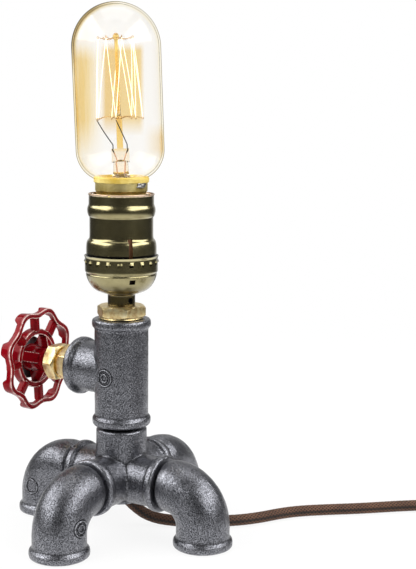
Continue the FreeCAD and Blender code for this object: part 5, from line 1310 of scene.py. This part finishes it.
def hexagon_piece(name, flats, corner_angle, low, high, bore, cones, stem):
    """A hexagon between two heights, cut by a cone at each, bored, with a round stem below it.

    cones is (low, high): the radius where each cone starts, as a share of half the flats. stem is a list
    of (radius, height) from the bore's lower end up to the hexagon's lower face."""
    angles, hexagon = hex_ring(flats, corner_angle)
    slope = math.tan(math.radians(30))
    start = [flats / 2 * share for share in cones]
    low_side, high_side = (np.maximum(hexagon - s, 0) * slope for s in start)
    low_side, high_side = low + low_side, high - high_side
    rows = [
        *stem,
        (np.minimum(hexagon, start[0]), low),
        (hexagon - HEX_EDGE * 0.8, low_side),
        (hexagon - HEX_EDGE * 0.2, low_side + HEX_EDGE * 0.3),
        (hexagon, low_side + HEX_EDGE),
        (hexagon, high_side - HEX_EDGE),
        (hexagon - HEX_EDGE * 0.2, high_side - HEX_EDGE * 0.3),
        (hexagon - HEX_EDGE * 0.8, high_side),
        (np.minimum(hexagon - HEX_EDGE, start[1]), high),
        (bore + 0.35, high),
        (bore, high - 0.35),
        (bore, stem[0][1]),
    ]
    across, along, one = np.cos(angles), np.sin(angles), np.ones(HEX_SEGMENTS)
    grid = np.stack([np.stack([r * across, r * along, h * one], axis=1) for r, h in rows], axis=1)
    piece = make_piece(name, grid.reshape(-1, 3) * MM, wrap_faces(HEX_SEGMENTS, len(rows)))
    return shade(sealed(piece), 24)


BRANCH_HEIGHT = 84.5 * MM


def lay_along_branch(piece):
    """Turns an upright piece so that its height is measured from the column along the branch."""
    points = coords_of(piece)
    set_coords(piece, np.stack([-points[:, 2], -points[:, 0], points[:, 1] + BRANCH_HEIGHT], axis=1))


bushing = hexagon_piece(
    "hexagon_bushing", 22.9, 19.8, 113.6, 119.5, 5.3, (0.99, 1.0),
    [(5.3, 102.0), (8.3, 102.0), (9.3, 103.0), (9.3, 112.72), (10.9, 112.75), (11.5, 113.1)],
)  # fmt: skip
hand_over(bushing, "hex_bushing")

bonnet = hexagon_piece(
    "valve_bonnet_brass", 18.0, 30.0, 28.6, 36.6, 3.06, (1.0, 0.95),
    [(3.06, 16.0), (8.2, 16.0), (9.3, 17.0), (9.3, 28.22), (8.8, 28.25), (9.0, 28.4)],
)  # fmt: skip
lay_along_branch(bonnet)
spigot = turned_piece(
    "bonnet_spigot", [(3.06, 36.4, 0.0), (7.0, 36.4, 0.0), (7.0, 42.8, 0.3), (3.06, 42.8, 0.2)], 96
)
lay_along_branch(spigot)
bonnet = joined("valve_bonnet_made", bonnet, spigot)
hand_over(bonnet, "valve_bonnet")
nut = hexagon_piece(
    "packing_nut_made", 18.0, 0.0, 39.3, 46.2, 3.3, (1.0, 0.93),
    [(7.1, 44.2), (7.1, 39.9), (8.1, 38.95), (8.6, 38.95)],
)  # fmt: skip
lay_along_branch(nut)
hand_over(nut, "packing_nut")
print("hexagon parts faces:", [len(piece.data.polygons) for piece in (bushing, bonnet, nut)])

# %% [markdown]
# ## Handwheel
# The wheel is one die casting under enamel: a band that swings out into eight lobes with a knob behind
# each, eight spokes, a ring and three arms that slope to the hub. Each of these is a simple closed solid.
# Booleans would join them with hard creases, so they are only laid together, and a voxel remesh with some
# smoothing melts them into one skin with small fillets, as the enamel does.
# %% Handwheel solids
LOBES, FIRST_LOBE, FIRST_ARM = 8, math.radians(18.5), math.radians(15.0)
LOBE_RADIUS, VALLEY_RADIUS, BAND, ASKEW = 28.0, 25.3, 2.7, 0.045
LIP_AT, BAND_DEEP, KNOB_DEEP, PLATE_AT = 54.7, 3.8, 6.4, 62.56
HUB_TRUE, ASKEW_OVER, WHEEL_VOXEL = 12.5, 5.0, 0.30 * MM


def wheel_place(radial, tangent, along, heading):
    """World place of points given along and across a heading in the wheel's plane, a little askew."""
    across = radial * math.cos(heading) - tangent * math.sin(heading)
    upward = radial * math.sin(heading) + tangent * math.cos(heading)
    away_from_hub = smooth_step((np.hypot(across, upward) - HUB_TRUE) / ASKEW_OVER)
    along = along - across * ASKEW * away_from_hub
    return np.stack([-along, -across, upward + BRANCH_HEIGHT / MM], axis=1) * MM


def slab(outline, low, high, place):
    """A prism: an outline of (p, q) between two distances; place(p, q, t) puts its points in the world."""
    outline = np.array(outline)
    count = len(outline)
    points = np.concatenate([place(outline[:, 0], outline[:, 1], np.full(count, t)) for t in (low, high)])
    faces = [(k, (k + 1) % count, count + (k + 1) % count, count + k) for k in range(count)]
    return points, faces + [tuple(reversed(range(count))), tuple(range(count, 2 * count))]


def wheel_ring(corners, segments):
    """Vertices and faces of a section (radius, distance along the axis) turned about the wheel's axis."""
    radial, along = np.array(softened(corners)).T
    rings = [wheel_place(radial, radial * 0, along, angle) for angle in full_turn(segments)]
    return np.concatenate(rings), wrap_faces(segments, len(radial))


solids = []
for profile in (
    [(13.2, 57.0, 0.8), (16.0, 57.0, 0.8), (16.0, 62.3, 0.8), (13.2, 62.3, 0.8)],
    [(3.05, 49.4, 0.2), (5.5, 49.4, 0.5), (6.2, 50.2, 0.5), (6.2, 57.5, 1.0), (7.8, PLATE_AT, 0.4),
     (2.43, PLATE_AT, 0.2), (2.43, 51.0, 0.0), (3.05, 51.0, 0.0)],
):  # fmt: skip
    solids.append(wheel_ring(profile, 192))
for k in range(LOBES):
    heading = FIRST_LOBE + (k + 0.5) * 2 * math.pi / LOBES
    bar = softened([(-2.0, 55.7, 0.9), (2.0, 55.7, 0.9), (2.0, 60.1, 1.0), (-2.0, 60.1, 1.0)])
    solids.append(slab(bar, 15.0, 23.6, lambda p, q, t: wheel_place(t, p, q, heading)))
for k in range(3):
    heading = FIRST_ARM + k * 2 * math.pi / 3
    wedge = [(4.5, 51.0), (6.2, 51.4), (14.4, 57.9), (14.4, PLATE_AT), (4.5, PLATE_AT)]
    solids.append(slab(wedge, -2.8, 2.8, lambda p, q, t: wheel_place(p, t, q, heading)))
print("handwheel solids:", len(solids))

# %% Handwheel skin
points, faces = [], []
for verts, quads in solids:
    faces += [tuple(v + len(points) for v in quad) for quad in quads]
    points += verts.tolist()
wheel = melt(sealed(make_piece("handwheel_middle", points, faces)), WHEEL_VOXEL, 7)
wheel_bend = bend(wheel)
print("handwheel middle faces:", len(wheel.data.polygons))

# %% [markdown]
# The rim follows a rule: its radius is a wave with eight crests, and behind each crest it is deeper by a
# knob. Geometry Nodes sweep a section round a circle. Both curves carry their own numbers along, the angle
# and the place in the section, and Set Position works out each point's place from them. A voxel skin would
# blur the rim's two fine edges, so the rim is swept last and laid over the ends of the spokes.
# %% Handwheel rim


def rim_tree():
    """The tree of the rim, in millimetres until its last step."""
    tree, add, given = new_tree(
        "lobed_rim", Section=("Geometry",), Segments=("Int", 720), Lobes=("Int", LOBES),
        First_lobe=("Float", FIRST_LOBE), Crest=("Float", LOBE_RADIUS), Valley=("Float", VALLEY_RADIUS),
        Lip_at=("Float", LIP_AT), Knob=("Float", KNOB_DEEP - BAND_DEEP), Askew=("Float", ASKEW),
        Height=("Float", BRANCH_HEIGHT), Material=("Material", MATERIALS["red_enamel"]),
    )  # fmt: skip
    circle = add("GeometryNodeCurvePrimitiveCircle", Resolution=given["Segments"], Radius=1.0)
    turn = add("Math", add("GeometryNodeInputIndex"), 2 * math.pi, operation="MULTIPLY")
    turn = add("Math", turn, given["Segments"], operation="DIVIDE")
    here = add("GeometryNodeInputPosition")
    # Each curve keeps a number on its points, which stays readable on the mesh that is made from them.
    carried = []
    for line, kind, value in ((circle.outputs[0], "FLOAT", turn), (given["Section"], "VECTOR", here)):
        keep = add("GeometryNodeCaptureAttribute")
        keep.capture_items.new(kind, "value")
        tree.links.new(line, keep.inputs[0])
        tree.links.new(value.outputs[0], keep.inputs[1])
        carried += keep.outputs[:2]
    circle, angle, section, here = carried
    swept = add("GeometryNodeCurveToMesh", circle, section)
    inward, back = add("SeparateXYZ", here).outputs[:2]

    crest = add("Math", angle, given["First lobe"], operation="SUBTRACT")
    crest = add("Math", crest, given["Lobes"], operation="MULTIPLY")
    wave = add("Math", add("Math", crest, operation="COSINE"), 0.5, 0.5, operation="MULTIPLY_ADD")
    swing = add("Math", given["Crest"], given["Valley"], operation="SUBTRACT")
    radius = add("Math", wave, swing, given["Valley"], operation="MULTIPLY_ADD")
    radius = add("Math", radius, inward, operation="ADD")
    knob = add("MapRange", wave, 0.55, 0.86, interpolation_type="SMOOTHSTEP")
    knob = add("Math", knob, given["Knob"], operation="MULTIPLY")
    knob = add("Math", knob, add("Math", back, 1.5, operation="GREATER_THAN"), operation="MULTIPLY")
    across = add("Math", radius, add("Math", angle, operation="COSINE"), operation="MULTIPLY")
    upward = add("Math", radius, add("Math", angle, operation="SINE"), operation="MULTIPLY")
    along = add("Math", back, knob, operation="ADD")
    along = add("Math", along, given["Lip at"], operation="ADD")
    lean = add("Math", across, given["Askew"], operation="MULTIPLY")
    along = add("Math", along, lean, operation="SUBTRACT")
    place = add(
        "CombineXYZ",
        add("Math", along, -MM, operation="MULTIPLY"),
        add("Math", across, -MM, operation="MULTIPLY"),
        add("Math", upward, MM, given["Height"], operation="MULTIPLY_ADD"),
    )
    end_tree(add, add("GeometryNodeSetPosition", swept, Position=place), given["Material"])
    return tree


# %% Rim swept
RIM_SECTION = softened(
    [(0.0, 0.0, 0.42), (0.0, BAND_DEEP, 0.9), (-BAND, BAND_DEEP, 0.9), (-BAND, 0.0, 0.42),
     (-BAND + 0.85, 0.0, 0.25), (-BAND / 2, 0.32, 0.4), (-0.85, 0.0, 0.25)],
)  # fmt: skip
guide, spline = guide_curve("rim_section", "POLY", [[(*at, 0.0) for at in RIM_SECTION]])
spline.use_cyclic_u = True
use_tree(guide, rim_tree())
rim = sealed(shown("handwheel_rim", final_mesh(guide)))
bpy.data.objects.remove(guide)
print("rim faces:", len(rim.data.polygons))

# %% Handwheel ring and edges
RING_IN, RING_OUT, RING_NEAR, RING_FAR = 13.05, 16.1, 56.9, 62.4
collar = [
    (RING_IN, RING_NEAR, 0.42), (RING_IN + 0.9, RING_NEAR, 0.25),
    ((RING_IN + RING_OUT) / 2, RING_NEAR + 0.35, 0.4), (RING_OUT - 0.9, RING_NEAR, 0.25),
    (RING_OUT, RING_NEAR, 0.42), (RING_OUT, RING_FAR, 0.6), (RING_IN, RING_FAR, 0.6),
]  # fmt: skip
ring = sealed(make_piece("handwheel_ring", *wheel_ring(collar, 240)))
wheel = joined("handwheel_enamelled", wheel, ring, rim)

points = coords_of(wheel) / MM
across, upward, along = -points[:, 1], points[:, 2] - BRANCH_HEIGHT / MM, -points[:, 0]
radius, angle = np.hypot(across, upward), np.arctan2(upward, across)
along = along + across * ASKEW * smooth_step((radius - HUB_TRUE) / ASKEW_OVER)
outline = VALLEY_RADIUS + (LOBE_RADIUS - VALLEY_RADIUS) * (1 + np.cos(LOBES * (angle - FIRST_LOBE))) / 2
# edge is near 1 along the front edges of the rim and the ring, where the enamel gets thin painted highlight
# lines.
EDGE_IN, EDGE_BACK, EDGE_REACH = 0.15, 0.12, 0.55
edge = np.zeros(len(points))
for outer, inner, front in ((outline, outline - BAND, LIP_AT), (RING_OUT, RING_IN, RING_NEAR)):
    for middle in (outer - EDGE_IN, inner + EDGE_IN):
        gap = np.hypot(radius - middle, along - front - EDGE_BACK)
        edge = np.maximum(edge, 1 - gap / EDGE_REACH)
# Elsewhere edge follows the bend: a fainter painted highlight on rounded edges above 0, and painted shade in
# the hollows below 0.
soft = np.where(wheel_bend > 0, np.clip((wheel_bend - 0.45) * 1.1, 0, 0.75), wheel_bend * 0.8)
soft = np.concatenate([soft, np.zeros(len(points) - len(soft))])
edge = np.where(edge > 0.05, edge, soft)
store(wheel, "edge", edge)
hand_over(wheel, "handwheel")
print("handwheel faces:", len(wheel.data.polygons), "edge points:", int((edge > 0.3).sum()))

# %% Cement ring
cement = turned_piece(
    "cement_ring",
    [(13.42, 182.8, 0.0), (14.05, 183.0, 0.3), (14.25, 185.2, 0.5), (13.5, 186.1, 0.4), (12.8, 185.9, 0.0),
     (12.8, 184.05, 0.0), (13.42, 184.05, 0.0)],
    180,
)  # fmt: skip
points = coords_of(cement)
rough_edge = lumps(points, 1.3 * MM, 61) * np.where(points[:, 2] < 183.4 * MM, 0.28, 0.06)
points[:, 2] += rough_edge * MM
set_coords(cement, points)
hand_over(cement, "bulb_cement")
print("cement faces:", len(cement.data.polygons))

# %% [markdown]
# ## Wires in the bulb
# The filament is one thin wire that zigzags between hooks, seven below and six above. A round section
# along a path is Curve to Mesh in Geometry Nodes: the same tree makes the filament, the hooks with their
# curled ends, and the two leads, each with its own thickness as a named input.
# %% Wire tree


def wire_tree():
    tree, add, given = new_tree(
        "round_wire", Lines=("Geometry",), Radius=("Float", 0.2 * MM), Material=("Material",)
    )
    section = add("GeometryNodeCurvePrimitiveCircle", Resolution=8, Radius=given["Radius"])
    tube = add("GeometryNodeCurveToMesh", given["Lines"], section, Fill_Caps=True)
    end_tree(add, tube, given["Material"])
    return tree


WIRE_TREE = wire_tree()
LEAN, LEAN_HEADING, LEAN_PIVOT = math.radians(2.2), math.radians(216.75), UP * 184
LEAN_AXIS = UP.cross(Vector((math.cos(LEAN_HEADING), math.sin(LEAN_HEADING), 0)))
LEAN_TURN = Matrix.Rotation(LEAN, 3, LEAN_AXIS)


def tipped(point):
    """The glass is set a little askew in its cap."""
    return LEAN_TURN @ (point - LEAN_PIVOT) + LEAN_PIVOT


def wire_piece(name, node, lines, radius):
    """Round wire along each list of points, in millimetres, tipped like the glass."""
    guide, _ = guide_curve(name + "_guide", "POLY", [[tipped(at) * MM for at in run] for run in lines])
    use_tree(guide, WIRE_TREE, Radius=radius * MM, Material=MATERIALS[SLOT_OF[node]])
    piece = shown(name, final_mesh(guide))
    bpy.data.objects.remove(guide)
    piece.data.shade_smooth()
    hand_over(piece, node)
    print(name, "faces:", len(piece.data.polygons))

# %% Filament, hooks and leads
HOOKS, LEAD_HEADING, FIRST_HOOK = 7, 36.75, 160.0
CAGE = {"low": (215.0, 12.0, 0.0, 1.4), "high": (255.5, 9.0, 0.5, -1.0)}
CURL_RADIUS, PRESS_TOP = 0.48, 199.4


def hook(level, index):
    height, radius, shift, _ = CAGE[level]
    angle = math.radians(LEAD_HEADING + FIRST_HOOK + (index + shift) * 360 / HOOKS)
    return Vector((radius * math.cos(angle), radius * math.sin(angle), height))


def bowed(start, end, sag, steps=14):
    """A run that bows a little out of the straight line, as hot wire does."""
    middle = (start + end) / 2
    out = Vector((middle.x, middle.y, 0)).normalized() * sag
    return [start.lerp(end, i / steps) + out * math.sin(math.pi * i / steps) for i in range(steps + 1)]


strands = []
for k in range(HOOKS):
    above = UP * 0.35
    if k:
        strands += bowed(hook("high", k - 1) - above, hook("low", k) + above, 0.35)[1:]
    else:
        strands.append(hook("low", 0) + above)
    if k + 1 < HOOKS:
        strands += bowed(hook("low", k) + above, hook("high", k) - above, 0.35)[1:]
wire_piece("carbon_filament", "filament", [strands], 0.145)

arms = []
for level, (height, radius, shift, tilt) in CAGE.items():
    for k in range(HOOKS):
        tip = hook(level, k)
        way = Vector((tip.x, tip.y, 0)).normalized()
        start, turn = (0.85, 1) if level == "low" else (1.3, -1)
        arm = []
        for t in np.linspace(0, 1, 10):
            rise = height + tilt * 0.9 * math.sin(math.pi * t)
            arm.append(way * (start + (radius - 0.5 - start) * t) + UP * rise)
        centre = tip + UP * 0.05 * turn
        for a in np.radians(np.linspace(-180, 150, 12)):
            arm.append(centre + (way * math.cos(a) - UP * turn * math.sin(a)) * CURL_RADIUS)
        arms.append(arm)
wire_piece("hook_wires", "filament_supports", arms, 0.15)

leads = []
across = Vector((math.cos(math.radians(LEAD_HEADING)), math.sin(math.radians(LEAD_HEADING)), 0))
for side, index in ((-1, 0), (1, 2)):
    foot = across * side * 3.6 + UP * PRESS_TOP
    top = hook("low", index) - UP * 0.5
    root = [across * side * 1.3 + UP * 187, across * side * 1.7 + UP * 194]
    leads.append([*root, foot, foot + UP * 1.6, *bowed(foot + UP * 2.6, top, 0.3)])
wire_piece("lead_wires_made", "lead_wires", leads, 0.26)

# %% [markdown]
# ## Turned, pressed and moulded parts
# These keep the CAD form. A welded copy is shaded smooth across its curves and keeps its sharp edges, so
# highlights run clean along them.
# %% Crisp copies
CRISP = [
    "threaded_nipple", "index_plate", "handwheel_screw", "cap_set_screw", "bulb_cap",
    "bulb_insulator", "bulb_stem", "bulb_rod", "bulb_glass", "cord_bush", "cord_tie",
    "plug_body", "plug_blades", "plug_strain_relief", "insulating_sleeve",
]  # fmt: skip
for node in CRISP:
    piece = make_piece("made_" + node, *welded(node))
    hand_over(piece, node)
print("crisp copies:", len(CRISP))

# %% [markdown]
# ## Solder
# The bulb's leads are soldered to its cap in two places: the contact under it, and a rough bead where the
# other lead comes over the cap's edge. The bead is a ball, flattened against the skirt and made uneven
# with the same value noise as the castings.
# %% Solder bead
BEAD_HEADING, BEAD_HEIGHT, SKIRT_RADIUS = math.radians(-3.5), 181.9, 13.45
BEAD_WIDE, BEAD_PROUD, BEAD_TALL = 3.5, 0.75, 1.6
mesh = bmesh.new()
bmesh.ops.create_icosphere(mesh, subdivisions=4, radius=1.0)
bead = shown_bmesh("solder_bead", mesh)
ball = coords_of(bead)
ball *= (1 + 0.30 * lumps(ball, 0.55, 71) + 0.12 * lumps(ball, 0.25, 72))[:, None]
turned = BEAD_HEADING + ball[:, 1] * BEAD_WIDE / SKIRT_RADIUS
outward = SKIRT_RADIUS + ball[:, 0] * BEAD_PROUD
upward = BEAD_HEIGHT + ball[:, 2] * BEAD_TALL
set_coords(bead, np.stack([outward * np.cos(turned), outward * np.sin(turned), upward], axis=1) * MM)
contact = joined("cap_solder", make_piece("contact_copy", *welded("bulb_contact")), bead)
hand_over(contact, "bulb_contact")
print("solder faces:", len(contact.data.polygons))

# %% Sizes
boxes = {"cad": [list(c) for c in CAD_BOX], "visual": [list(c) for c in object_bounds()]}
print("visual box in mm:", [[round(v / MM, 1) for v in corner] for corner in boxes["visual"]])
